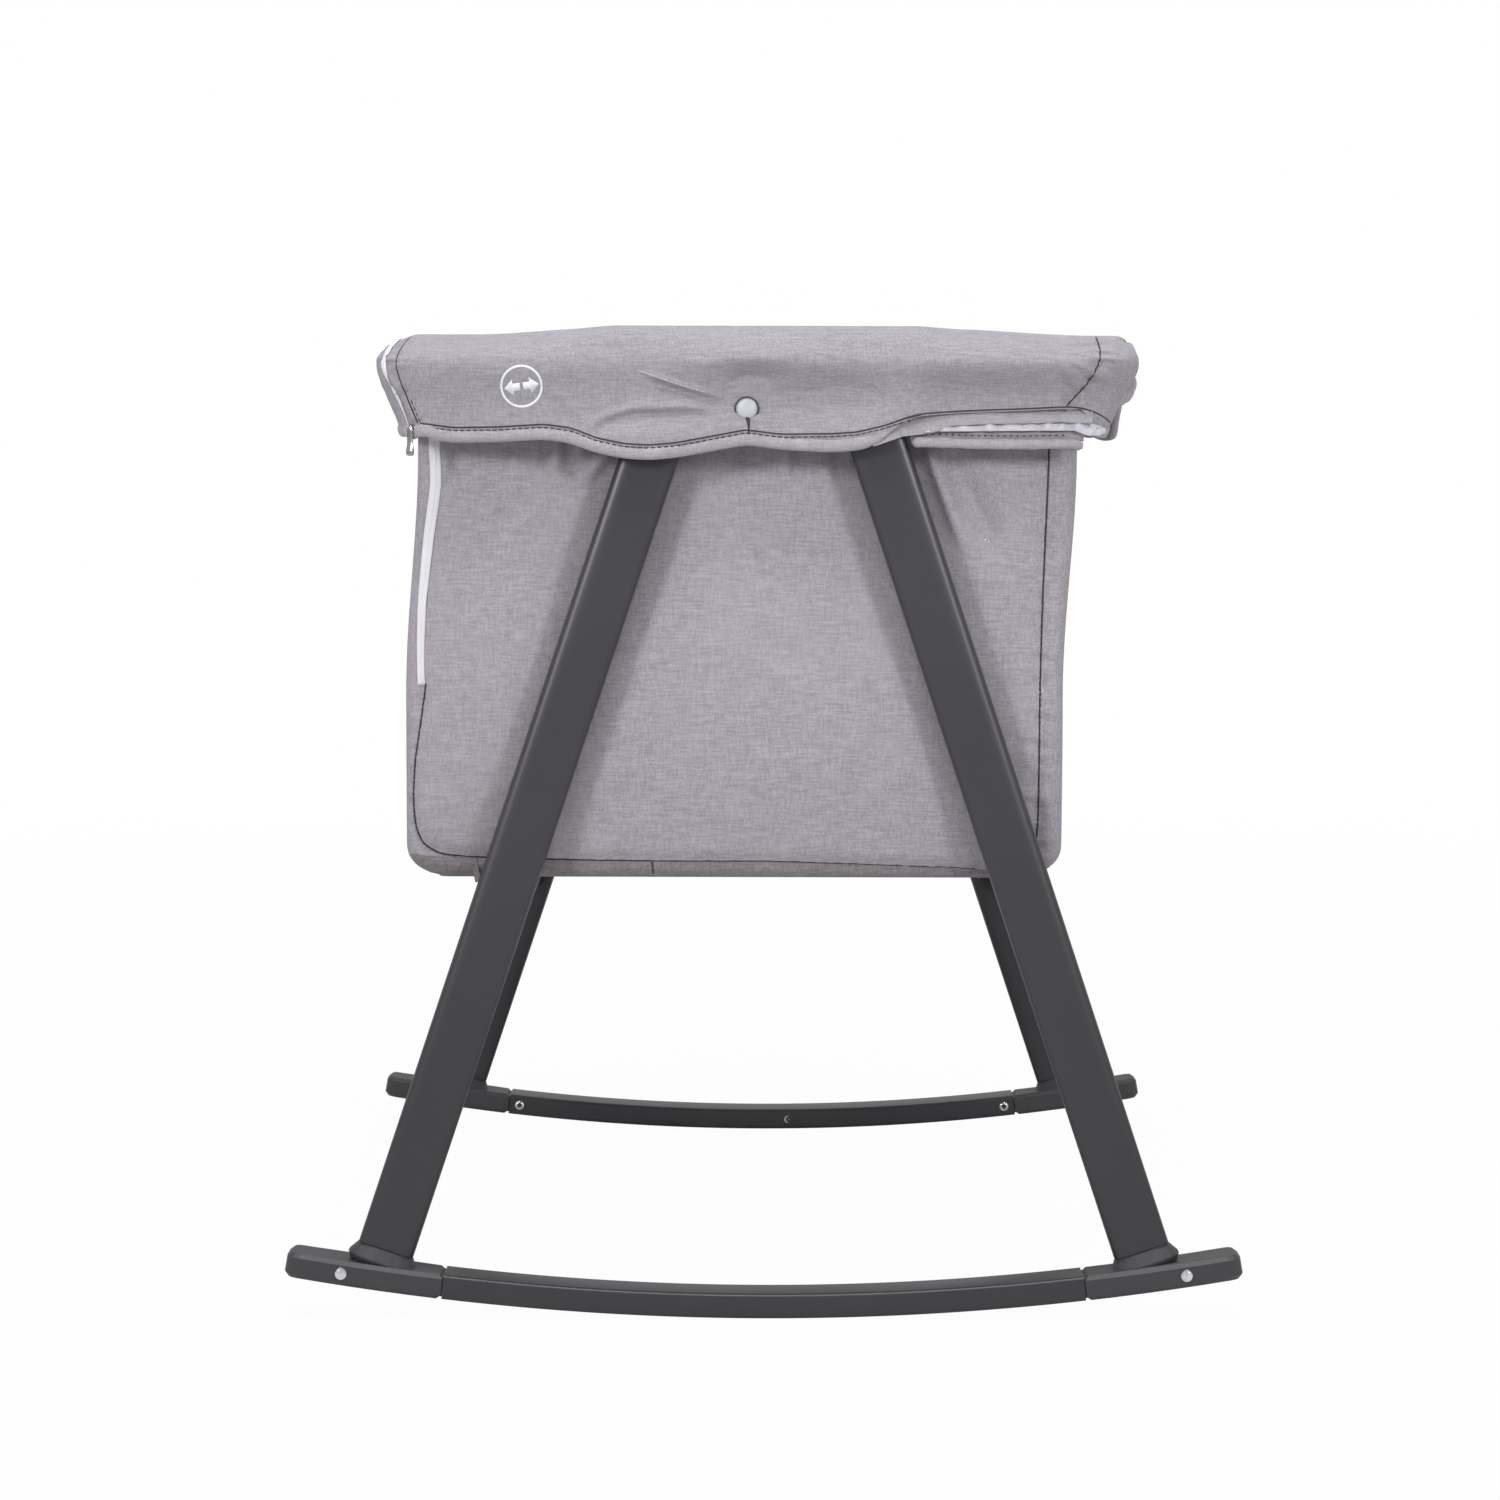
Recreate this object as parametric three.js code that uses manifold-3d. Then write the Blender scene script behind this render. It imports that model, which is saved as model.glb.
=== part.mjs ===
// A rocking bassinet on a folding stand.
// Two A-frames on curved rockers carry a fabric tub between them. Everything between the frames
// folds about half-lengths of one size, so the far frame travels straight along Y.
// Millimetres. +X across the rockers, +Y along the tub from near to far end, +Z up.
// The origin lies on the floor under the middle.

import * as THREE from 'three';
import { mergeVertices } from 'three/addons/utils/BufferGeometryUtils.js';
import Module from 'manifold-3d';

const wasm = await Module();
wasm.setup();

// ---------------------------------------------------------------- driving dimensions

// Clearances
const FIT = 0.3; // between pieces that seat on each other
const RUNNING = 0.4; // beside pieces that turn on a pin
const SWING = 1.2; // round the swept outline of a folding piece

// Rockers: one curved tube and two moulded feet each
const FRAME_SPACING = 830; // middle to middle of the two A-frames
const ROCKER_RADIUS = 2000; // of the underside
const ROCKER_HALF_LENGTH = 348; // middle to tip, along the arc
const ROCKER_DEPTH = 38;
const ROCKER_HEIGHT = 18;
const ROCKER_EDGE = 3;
const ROCKER_WALL = 1.8;
const ROCKER_FACETS = 13; // odd, so that the middle one lies flat on the floor
const FOOT_START = 233; // where the tube ends and the foot begins, along the arc
const FOOT_GAP = 0.8; // shadow line between tube and foot
const FOOT_TIP_RADIUS = 9;
const FOOT_STEPS = 5;
const SPIGOT_LENGTH = 30; // of the foot inside the tube and inside the leg

// Legs: flat oval tubes
const LEG_LEAN = THREE.MathUtils.degToRad(18.4);
const LEG_WIDTH = 41;
const LEG_DEPTH = 22;
const LEG_WALL = 2;
const LEG_FOOT_X = 273;
const LEG_LIFT = 11.4; // from the rocker's top up to the leg's lower end
const LEG_TOP_DROP = 9; // from the rails' level down to the leg's upper end
const LEG_SQUARENESS = 2.6;
const LEG_FACETS = 20;
const STUB_SINK = 16; // how far the foot's stub runs down inside the foot
const FLARE_SIZE = 5;
const FLARE_HEIGHT = 8;
const FLARE_DROP = 10; // from the leg's end down to the flare's full width

// Flip-down feet that stop the rocking
const FLIP_PIN_INSET = 41; // from the rocker's tip, along the arc
const FLIP_PIN_RADIUS = 2.5;
const FLIP_HEAD_RADIUS = 4.8;
const FLIP_HEAD_HEIGHT = 2;
const FLIP_SIDE_WALL = 7.2; // of the foot, on each side of the channel
const FLIP_SIDE_GAP = 0.8;
const FLIP_HEEL = 5; // radius of its round end behind the pin
const FLIP_ROOF = 3.3; // of the foot above the channel
const FLIP_RECESS = 0.7; // stowed lever up from the foot's underside
const FLIP_FLOOR_GAP = 0.3;

// Rails at the top of the tub
const RAIL_RADIUS = 8;
const RAIL_WALL = 1.6;
const RAIL_Z = 697;
const LEG_TO_RAIL = 2; // between a leg's inner face and the end rail
const RAIL_TO_TONGUE = 3; // between the end rail and the side rail's tongue
const TONGUE_WIDTH = 8;
const RAIL_PIN_RADIUS = 3;
const EAR_WALL = 4.3;
const SOCKET_WALL = 3;
const SOCKET_REACH = 13; // of a corner's socket along the end rail
const LATCH_HALF_HEIGHT = 11;
const BUTTON_LENGTH = 14;
const BUTTON_WALL = 3.4;
const BUTTON_WIDTH = 10;
const BUTTON_HEIGHT = 9;
const BUTTON_PROUD = 2;
const BUTTON_TRAVEL = 5;

// Top bracket that holds both legs and the end rail
const BRACKET_WALL = 3;
const BRACKET_DROP = 57; // from the rails' level down to the bracket's lower edge
const BRACKET_LOOP_HALF = 60;
const BRACKET_MARGIN = 6; // beside each leg

// Side stays low on the legs
const STAY_Z = 234;
const STAY_WIDTH = 16;
const STAY_THICKNESS = 5;
const STAY_PIN_RADIUS = 3;
const BOSS_MARGIN = 5; // round the stay's ears
const BOSS_DISC = 10;
const BOSS_EAR = 4;
const RIVET_HEAD_RADIUS = 5.5;
const RIVET_HEAD_HEIGHT = 1.6;

// Fabric tub
const TUB_HALF_WIDTH = 240;
const TUB_WALL = 6;
const TUB_BOTTOM_Z = 318;
const TUB_LEAN = 21; // how far the tub's lower part hangs towards the left of its rails
const TUB_LEAN_HIGH = 12.5; // and how far it does below the rails
const TUB_LOW_RISE = 142; // height of the lower part
const TUB_HIGH_DROP = 55; // from the end panels' top down to where the cloth bends in to the rails
const TUB_RISE = 3; // of the long sides above the rails' level
const TUB_TO_RAIL = 1.3; // between a long side and the corner blocks
const LEG_TO_PANEL = 0.5; // between a leg and an end panel at the bottom
const PANEL_SLANT = 7; // how far a panel leans in towards the rail
const PANEL_THICKNESS = 6.5;
const LEDGE_THICKNESS = 6.7;
const LEDGE_OVERLAP = 12; // of the ledge under the floor board
const FLOOR_MARGIN = 6; // from the floor to each long side
const BOARD_THICKNESS = 5;
const PAD_THICKNESS = 15;
const PAD_INSET = 2;
const PAD_EDGE = 4;
const FLOOR_SEAM = 0.8; // between the two halves of the floor

// Padded collar round the top
const COLLAR_CORNER = 46;
const COLLAR_WALL = 7;
const COLLAR_HEIGHT = 82;
const COLLAR_TOP_THICKNESS = 6;
const COLLAR_TO_BRACKET = 0.7; // inside the flap at each end
const COLLAR_TO_CORNER = 8.3; // inside the flap at each side
const COLLAR_OVER_BRACKET = 0.6;
const COLLAR_LIP = 10; // of an end's top strip past its seam
const COLLAR_SEAM = 0.5;
const SNAP_RADIUS = 7.5;
const SNAP_HEIGHT = 2.6;
const SNAP_STUD_RADIUS = 3;
const SNAP_X = 13.6;
const SNAP_RISE = 22; // above the hem

// Zip hardware at the near left corner
const TAPE_THICKNESS = 2;
const TAPE_WIDTH = 8;
const TAPE_INSET = 2; // from the end panel's edge
const TAPE_RISE = 137; // of the tape's lower end above the tub's bottom
const ZIP_ANGLE = THREE.MathUtils.degToRad(237); // round the collar's corner
const ZIP_RISE = 7; // above the hem
const PULLER_LENGTH = 19;
const PULLER_WIDTH = 5;
const PULLER_THICKNESS = 1.6;
const ZIP_PIN_RADIUS = 0.9;
const ZIP_POST = 1.6;

// ---------------------------------------------------------------- worked out from them

const FACET_SAG = ROCKER_RADIUS * (1 - Math.cos(FOOT_START / ROCKER_FACETS / ROCKER_RADIUS));
const FLIP_PIN_AT = ROCKER_HALF_LENGTH - FLIP_PIN_INSET;
const FLIP_WIDTH = ROCKER_DEPTH - 2 * (FLIP_SIDE_WALL + FLIP_SIDE_GAP);
const FLIP_ABOVE = ROCKER_HEIGHT / 2 - FLIP_ROOF - SWING; // lever above the pin's axis when stowed
const FLIP_BELOW = ROCKER_HEIGHT / 2 - FLIP_RECESS; // and below it

const LEG_Y = FRAME_SPACING / 2;
const LEG_INNER_Y = LEG_Y - LEG_DEPTH / 2;
const LEG_FOOT_Z = ROCKER_RADIUS - Math.sqrt(ROCKER_RADIUS ** 2 - LEG_FOOT_X ** 2) + ROCKER_HEIGHT + LEG_LIFT;
const LEG_TOP_Z = RAIL_Z - LEG_TOP_DROP;

const TONGUE_RADIUS = RAIL_RADIUS;
const CORNER_HALF = TONGUE_WIDTH / 2 + RUNNING + EAR_WALL;
const SIDE_RAIL_X = TUB_HALF_WIDTH + TUB_TO_RAIL + CORNER_HALF;
const END_RAIL_Y = LEG_INNER_Y - LEG_TO_RAIL - RAIL_RADIUS;
const RAIL_PIVOT_Y = END_RAIL_Y - RAIL_RADIUS - RAIL_TO_TONGUE - TONGUE_RADIUS;
const LATCH_HALF_PITCH = BUTTON_LENGTH / 2 + RUNNING + BUTTON_WALL + TONGUE_RADIUS + SWING;
const HALF_LINK = RAIL_PIVOT_Y - LATCH_HALF_PITCH; // between the pivots of every folding piece

const BRACKET_TOP_Z = RAIL_Z + RAIL_RADIUS + BRACKET_WALL - 2 * FIT;
const BRACKET_BOTTOM_Z = RAIL_Z - BRACKET_DROP;
const BRACKET_FACE_Y = LEG_Y + LEG_DEPTH / 2 + FIT + BRACKET_WALL;

const STAY_PIVOT_Y = HALF_LINK;
const STAY_OFFSET = (STAY_THICKNESS + RUNNING) / 2;
const BOSS_RADIUS = STAY_WIDTH / 2 + BOSS_MARGIN;

const TUB_TOP_Z = RAIL_Z + TUB_RISE;
const FLOOR_Z = TUB_BOTTOM_Z + LEDGE_THICKNESS + FIT;
const FLOOR_STACK = BOARD_THICKNESS + FIT + PAD_THICKNESS;
const FLOOR_HALF_WIDTH = TUB_HALF_WIDTH - TUB_WALL - FLOOR_MARGIN - TUB_LEAN / 2;
const FLOOR_X = -TUB_LEAN / 2; // the floor's middle
const PANEL_OUTSET = LEG_INNER_Y - LEG_TO_PANEL;
const PANEL_INNER_Y = PANEL_OUTSET - PANEL_THICKNESS;
const FLOOR_PIVOT_Y = PANEL_INNER_Y - FLOOR_STACK - SWING - FIT;
const PANEL_TOP_Z = RAIL_Z - RAIL_RADIUS - SOCKET_WALL - 2 * FIT;
const TUB_LOW_Z = TUB_BOTTOM_Z + TUB_LOW_RISE;
const TUB_HIGH_Z = PANEL_TOP_Z - TUB_HIGH_DROP;

const COLLAR_HALF_LENGTH = BRACKET_FACE_Y + COLLAR_TO_BRACKET + COLLAR_WALL;
const COLLAR_HALF_WIDTH = SIDE_RAIL_X + CORNER_HALF + COLLAR_TO_CORNER + COLLAR_WALL;
const COLLAR_TOP_Z = BRACKET_TOP_Z + COLLAR_OVER_BRACKET + COLLAR_TOP_THICKNESS;
const COLLAR_BOTTOM_Z = COLLAR_TOP_Z - COLLAR_HEIGHT;
const COLLAR_SPLIT = RAIL_PIVOT_Y; // where an end collar meets a side collar
const COLLAR_OPENING_HALF_LENGTH = COLLAR_SPLIT + COLLAR_LIP;
const SNAP_Z = COLLAR_BOTTOM_Z + SNAP_RISE;
const ZIP_Z = COLLAR_BOTTOM_Z + ZIP_RISE;

const ENDS = [
  { end: 'near', s: -1 },
  { end: 'far', s: 1 },
];
const SIDES = [
  { side: 'left', k: -1 },
  { side: 'right', k: 1 },
];

// ---------------------------------------------------------------- materials

function paint(color, roughness, metalness = 0) {
  return new THREE.MeshStandardMaterial({ color, roughness, metalness });
}

const charcoal = paint(0x4b4a4e, 0.35, 0.6);
const mouldedGrey = paint(0x46484d, 0.55);
const steel = paint(0xb9bbbf, 0.25, 1);
const linen = paint(0xa49fa8, 0.95);
const binding = paint(0xb8b3ba, 0.9);
const padFabric = paint(0xe6e3e2, 0.95);
const whiteNylon = paint(0xf1f0f2, 0.5);
const bareAluminium = paint(0x8f9195, 0.35, 0.9);

// ---------------------------------------------------------------- solids

// A closed geometry as a solid for cutting and joining.
function solidOf(geometry) {
  const bare = geometry.index ? geometry.toNonIndexed() : geometry.clone();
  bare.deleteAttribute('normal');
  bare.deleteAttribute('uv');
  const merged = mergeVertices(bare, 1e-4);
  return new wasm.Manifold(new wasm.Mesh({
    numProp: 3,
    vertProperties: Float32Array.from(merged.attributes.position.array),
    triVerts: Uint32Array.from(merged.index.array),
  }));
}

function geometryOf(solid) {
  const mesh = solid.getMesh();
  const geometry = new THREE.BufferGeometry();
  geometry.setAttribute('position', new THREE.BufferAttribute(mesh.vertProperties, 3));
  geometry.setIndex(new THREE.BufferAttribute(mesh.triVerts, 1));
  return geometry;
}

// Joins the added geometries, then takes away the cut ones.
function shapeFrom(added, cuts = []) {
  const joined = added.map(solidOf).reduce((sum, piece) => sum.add(piece));
  return geometryOf(cuts.map(solidOf).reduce((rest, piece) => rest.subtract(piece), joined));
}

function commonTo(first, second) {
  return geometryOf(solidOf(first).intersect(solidOf(second)));
}

// An outline extruded from one place to another along an axis.
// It is drawn in (x, y) for z, in (x, z) for y and in (y, z) for x.
function extrude(shape, axis, from, to, options = {}) {
  const low = Math.min(from, to);
  const high = Math.max(from, to);
  const bevel = options.bevel ?? 0;
  const geometry = new THREE.ExtrudeGeometry(shape, {
    depth: high - low - 2 * bevel,
    steps: options.steps ?? 1,
    bevelEnabled: bevel > 0,
    bevelThickness: bevel,
    bevelSize: bevel,
    bevelOffset: -bevel,
    bevelSegments: options.bevelSegments ?? 1,
  });
  geometry.translate(0, 0, bevel);
  const x = new THREE.Vector3(1, 0, 0);
  const y = new THREE.Vector3(0, 1, 0);
  const z = new THREE.Vector3(0, 0, 1);
  const turn = new THREE.Matrix4();
  if (axis === 'x') turn.makeBasis(y, z, x).setPosition(low, 0, 0);
  if (axis === 'y') turn.makeBasis(x, z, y.negate()).setPosition(0, high, 0);
  if (axis === 'z') turn.setPosition(0, 0, low);
  return geometry.applyMatrix4(turn);
}

function polygon(points) {
  return new THREE.Shape(points.map(([a, b]) => new THREE.Vector2(a, b)));
}

function block(x0, x1, y0, y1, z0, z1) {
  const size = [x1 - x0, y1 - y0, z1 - z0].map(Math.abs);
  return new THREE.BoxGeometry(...size).translate((x0 + x1) / 2, (y0 + y1) / 2, (z0 + z1) / 2);
}

// Points along an arc round (a, b), both ends included.
function arc(a, b, radius, from, to, steps) {
  return Array.from({ length: steps + 1 }, (_, i) => {
    const angle = from + ((to - from) * i) / steps;
    return [a + radius * Math.cos(angle), b + radius * Math.sin(angle)];
  });
}

function circle(radius, a = 0, b = 0, sides = 12) {
  return polygon(arc(a, b, radius, 0, 2 * Math.PI, sides).slice(1));
}

function rectangle(halfWidth, halfHeight) {
  return polygon([
    [-halfWidth, -halfHeight],
    [halfWidth, -halfHeight],
    [halfWidth, halfHeight],
    [-halfWidth, halfHeight],
  ]);
}

function roundedRectangle(halfWidth, halfHeight, radius, steps = 2) {
  const quarter = Math.PI / 2;
  const [x, y] = [halfWidth - radius, halfHeight - radius];
  return polygon([
    ...arc(x, y, radius, 0, quarter, steps),
    ...arc(-x, y, radius, quarter, 2 * quarter, steps),
    ...arc(-x, -y, radius, 2 * quarter, 3 * quarter, steps),
    ...arc(x, -y, radius, 3 * quarter, 4 * quarter, steps),
  ]);
}

// A superellipse, the section of a flat oval tube.
function flatOval(width, depth) {
  const points = [];
  for (let i = 0; i < LEG_FACETS; i += 1) {
    const angle = ((i + 0.5) / LEG_FACETS) * 2 * Math.PI;
    const [c, s] = [Math.cos(angle), Math.sin(angle)];
    points.push([
      (Math.sign(c) * Math.abs(c) ** (2 / LEG_SQUARENESS) * width) / 2,
      (Math.sign(s) * Math.abs(s) ** (2 / LEG_SQUARENESS) * depth) / 2,
    ]);
  }
  return polygon(points);
}

// A bar's outline: two round ends of one radius round the points a and b, both on one level.
function slot(a, b, level, radius) {
  const [low, high] = [Math.min(a, b), Math.max(a, b)];
  return polygon([
    ...arc(high, level, radius, -Math.PI / 2, Math.PI / 2, 6),
    ...arc(low, level, radius, Math.PI / 2, (3 * Math.PI) / 2, 6),
  ]);
}

// A revolved solid, its axis turned to lie along a given direction through a point.
function turned(profile, origin, direction, segments = 14) {
  const points = profile.map(([r, h]) => new THREE.Vector2(r, h));
  const geometry = new THREE.LatheGeometry(points, segments);
  const up = new THREE.Vector3(0, 1, 0);
  const turn = new THREE.Quaternion().setFromUnitVectors(up, direction.clone().normalize());
  return geometry.applyQuaternion(turn).translate(origin.x, origin.y, origin.z);
}

// A plain pin between two heights along its axis.
function pin(radius, low, high, origin, direction) {
  return turned([[0, low], [radius, low], [radius, high], [0, high]], origin, direction, 12);
}

// ---------------------------------------------------------------- places

// A point of the rocker, from its distance along the arc and its height above the underside.
function onRocker(along, height) {
  const angle = along / ROCKER_RADIUS;
  const arm = ROCKER_RADIUS - height;
  return [arm * Math.sin(angle), ROCKER_RADIUS - arm * Math.cos(angle) - FACET_SAG];
}

// Bends a straight piece, lying along X on the floor, to the rocker's arc.
function bend(geometry) {
  const position = geometry.attributes.position;
  for (let i = 0; i < position.count; i += 1) {
    const [x, z] = onRocker(position.getX(i), position.getZ(i));
    position.setX(i, x);
    position.setZ(i, z);
  }
  return geometry;
}

function legX(z) {
  return LEG_FOOT_X - (z - LEG_FOOT_Z) * Math.tan(LEG_LEAN);
}

// Directions of a leg: across it, and up along it. Y is its third direction.
function legAcross(k) {
  return new THREE.Vector3(Math.cos(LEG_LEAN), 0, k * Math.sin(LEG_LEAN));
}

function legUp(k) {
  return new THREE.Vector3(-k * Math.sin(LEG_LEAN), 0, Math.cos(LEG_LEAN));
}

// Puts a geometry drawn as (across, Y, up) on a leg, with its origin at height z.
function onLeg(geometry, k, s, z) {
  const basis = new THREE.Matrix4().makeBasis(legAcross(k), new THREE.Vector3(0, 1, 0), legUp(k));
  return geometry.applyMatrix4(basis.setPosition(k * legX(z), s * LEG_Y, z));
}

// Puts a geometry drawn as (outwards, Y, upwards) at the flip foot's pin, level with the rocker there.
function atFlipPin(geometry, k, s) {
  const slope = FLIP_PIN_AT / ROCKER_RADIUS;
  const [x, z] = onRocker(k * FLIP_PIN_AT, ROCKER_HEIGHT / 2);
  return geometry.rotateY(-k * slope).translate(x, s * LEG_Y, z);
}

function flipReach() {
  return onRocker(FLIP_PIN_AT, ROCKER_HEIGHT / 2)[1] - FLIP_FLOOR_GAP;
}

// ---------------------------------------------------------------- A-frames

function rockerTube(s) {
  const half = ROCKER_DEPTH / 2;
  const section = roundedRectangle(half, ROCKER_HEIGHT / 2, ROCKER_EDGE);
  section.holes.push(rectangle(half - ROCKER_WALL, ROCKER_HEIGHT / 2 - ROCKER_WALL));
  const straight = extrude(section, 'x', -FOOT_START, FOOT_START, { steps: ROCKER_FACETS });
  return bend(straight.translate(0, s * LEG_Y, ROCKER_HEIGHT / 2));
}

function footPlan(k) {
  const half = ROCKER_DEPTH / 2;
  const tip = ROCKER_HALF_LENGTH - FOOT_TIP_RADIUS;
  const start = FOOT_START + FOOT_GAP;
  const points = [];
  for (let i = 0; i <= FOOT_STEPS; i += 1) {
    points.push([start + ((tip - start) * i) / FOOT_STEPS, -half]);
  }
  for (let i = 1; i <= 3; i += 1) {
    const angle = (i / 3) * (Math.PI / 2);
    points.push([
      tip + FOOT_TIP_RADIUS * Math.sin(angle),
      -half + FOOT_TIP_RADIUS * (1 - Math.cos(angle)),
    ]);
  }
  const mirrored = points.map(([x, y]) => [x, -y]).reverse();
  return polygon([...points, ...mirrored].map(([x, y]) => [k * x, y]));
}

// The moulded foot, with a spigot in the tube, a stub and spigot for the leg and a channel below
// for the flip foot.
function foot(k, s) {
  const half = ROCKER_DEPTH / 2;
  const plan = footPlan(k);
  const body = extrude(plan, 'z', 0, ROCKER_HEIGHT, { bevel: ROCKER_EDGE }).translate(0, s * LEG_Y, 0);
  const inset = ROCKER_WALL + FIT;
  const plug = extrude(
    rectangle(half - inset, ROCKER_HEIGHT / 2 - inset),
    'x',
    k * (FOOT_START - SPIGOT_LENGTH),
    k * (FOOT_START + 2 * ROCKER_EDGE),
    { steps: 2 },
  ).translate(0, s * LEG_Y, ROCKER_HEIGHT / 2);
  const stub = extrude(flatOval(LEG_WIDTH, LEG_DEPTH), 'z', -STUB_SINK, -FIT);
  const widest = flatOval(LEG_WIDTH + 2 * FLARE_SIZE, LEG_DEPTH + 2 * FLARE_SIZE);
  const flare = new THREE.ExtrudeGeometry(widest, {
    depth: 1,
    bevelThickness: FLARE_HEIGHT,
    bevelSize: FLARE_SIZE,
    bevelOffset: -FLARE_SIZE,
    bevelSegments: 1,
  }).translate(0, 0, -FLARE_DROP);
  const legInset = 2 * (LEG_WALL + FIT);
  const spigot = extrude(
    flatOval(LEG_WIDTH - legInset, LEG_DEPTH - legInset),
    'z',
    -STUB_SINK,
    SPIGOT_LENGTH,
  );
  const heel = Math.hypot(FLIP_HEEL, FLIP_BELOW) + RUNNING;
  const reach = flipReach();
  const width = FLIP_WIDTH / 2 + FLIP_SIDE_GAP;
  const channel = block(
    -k * heel,
    k * (reach + SWING),
    -width,
    width,
    -ROCKER_HEIGHT,
    Math.max(FLIP_ABOVE, FLIP_HEEL) + SWING,
  );
  const bore = pin(FLIP_PIN_RADIUS + FIT, -half - 1, half + 1, new THREE.Vector3(), new THREE.Vector3(0, 1, 0));
  return shapeFrom(
    [bend(body), bend(plug), onLeg(stub, k, s, LEG_FOOT_Z), onLeg(flare, k, s, LEG_FOOT_Z),
      onLeg(spigot, k, s, LEG_FOOT_Z)],
    [atFlipPin(channel, k, s), atFlipPin(bore, k, s)],
  );
}

// A headed pin through the foot's walls and the flip foot.
function flipPin(k, s) {
  const face = ROCKER_DEPTH / 2 + FIT;
  const dome = [];
  for (let i = 0; i < 3; i += 1) {
    const angle = (i / 3) * (Math.PI / 2);
    dome.push([FLIP_HEAD_RADIUS * Math.cos(angle), face + FLIP_HEAD_HEIGHT * Math.sin(angle)]);
  }
  dome.push([0, face + FLIP_HEAD_HEIGHT]);
  const upper = [[FLIP_PIN_RADIUS, face], ...dome];
  const lower = upper.map(([r, h]) => [r, -h]).reverse();
  const whole = turned([...lower, ...upper], new THREE.Vector3(), new THREE.Vector3(0, 1, 0));
  return atFlipPin(whole, k, s);
}

// The lever that swings down to the floor, drawn stowed and pointing outwards.
function flipFoot(k, s) {
  const reach = flipReach();
  const outline = polygon([
    ...arc(0, 0, FLIP_HEEL, 0.5 * Math.PI, 1.5 * Math.PI, 6),
    [FLIP_HEEL, -FLIP_BELOW],
    [reach - 1, -FLIP_BELOW],
    [reach, 1 - FLIP_BELOW],
    [reach, FLIP_ABOVE - 1],
    [reach - 1, FLIP_ABOVE],
    [FLIP_HEEL, FLIP_ABOVE],
  ]);
  outline.holes.push(circle(FLIP_PIN_RADIUS + FIT));
  const drawn = extrude(outline, 'y', -FLIP_WIDTH / 2, FLIP_WIDTH / 2);
  const facing = k > 0 ? drawn : drawn.rotateZ(Math.PI);
  return atFlipPin(facing, k, s);
}

function leg(k, s) {
  const section = flatOval(LEG_WIDTH, LEG_DEPTH);
  section.holes.push(flatOval(LEG_WIDTH - 2 * LEG_WALL, LEG_DEPTH - 2 * LEG_WALL));
  const length = (LEG_TOP_Z - LEG_FOOT_Z) / Math.cos(LEG_LEAN);
  return onLeg(extrude(section, 'z', 0, length), k, s, LEG_FOOT_Z);
}

// One moulding with a slanted socket for each leg and a loop round the end rail.
function topBracket(s) {
  const reach = BRACKET_FACE_Y - LEG_Y;
  const edge = LEG_WIDTH / 2 / Math.cos(LEG_LEAN) + BRACKET_MARGIN;
  const top = BRACKET_TOP_Z;
  const low = legX(BRACKET_BOTTOM_Z) + edge;
  const high = legX(top) + edge;
  const front = polygon([[-low, BRACKET_BOTTOM_Z], [low, BRACKET_BOTTOM_Z], [high, top], [-high, top]]);
  const body = extrude(front, 'y', s * (LEG_Y - reach), s * (LEG_Y + reach));
  const loopWall = RAIL_RADIUS + FIT + BRACKET_WALL - 2 * FIT;
  const loop = block(
    -BRACKET_LOOP_HALF,
    BRACKET_LOOP_HALF,
    s * (END_RAIL_Y - loopWall),
    s * (LEG_Y - reach + BRACKET_WALL / 2),
    RAIL_Z - loopWall,
    top,
  );
  const railBore = extrude(circle(RAIL_RADIUS + FIT, s * END_RAIL_Y, RAIL_Z), 'x', -high - low, high + low);
  const sockets = SIDES.map(({ k }) => {
    const section = flatOval(LEG_WIDTH + 2 * FIT, LEG_DEPTH + 2 * FIT);
    const length = (LEG_TOP_Z - LEG_FOOT_Z) / Math.cos(LEG_LEAN);
    return onLeg(extrude(section, 'z', 0, length + FIT), k, s, LEG_FOOT_Z);
  });
  return shapeFrom([body, loop], [railBore, ...sockets]);
}

function endRail(s) {
  const section = circle(RAIL_RADIUS, s * END_RAIL_Y, RAIL_Z);
  section.holes.push(circle(RAIL_RADIUS - RAIL_WALL, s * END_RAIL_Y, RAIL_Z));
  return extrude(section, 'x', -SIDE_RAIL_X, SIDE_RAIL_X);
}

// Holds the end rail in a socket and the side rail on a pin between two ears.
function corner(k, s) {
  const x = k * SIDE_RAIL_X;
  const face = RAIL_PIVOT_Y + TONGUE_RADIUS + SWING;
  const wall = RAIL_RADIUS + SOCKET_WALL;
  const body = block(
    x - CORNER_HALF,
    x + CORNER_HALF,
    s * face,
    s * (END_RAIL_Y + wall),
    RAIL_Z - wall,
    RAIL_Z + wall,
  );
  const socketStart = k * (SIDE_RAIL_X - CORNER_HALF - SOCKET_REACH);
  const socket = extrude(circle(wall, s * END_RAIL_Y, RAIL_Z), 'x', socketStart, x);
  const bore = extrude(circle(RAIL_RADIUS + FIT, s * END_RAIL_Y, RAIL_Z), 'x', socketStart - k, x + k * FIT);
  const ears = [-1, 1].map((m) => extrude(
    slot(s * RAIL_PIVOT_Y, s * (face + TONGUE_RADIUS), RAIL_Z, TONGUE_RADIUS),
    'x',
    x + m * (CORNER_HALF - EAR_WALL),
    x + m * CORNER_HALF,
  ));
  const shaft = extrude(circle(RAIL_PIN_RADIUS, s * RAIL_PIVOT_Y, RAIL_Z), 'x', x - CORNER_HALF, x + CORNER_HALF);
  return shapeFrom([body, socket, ...ears, shaft], [bore]);
}

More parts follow.
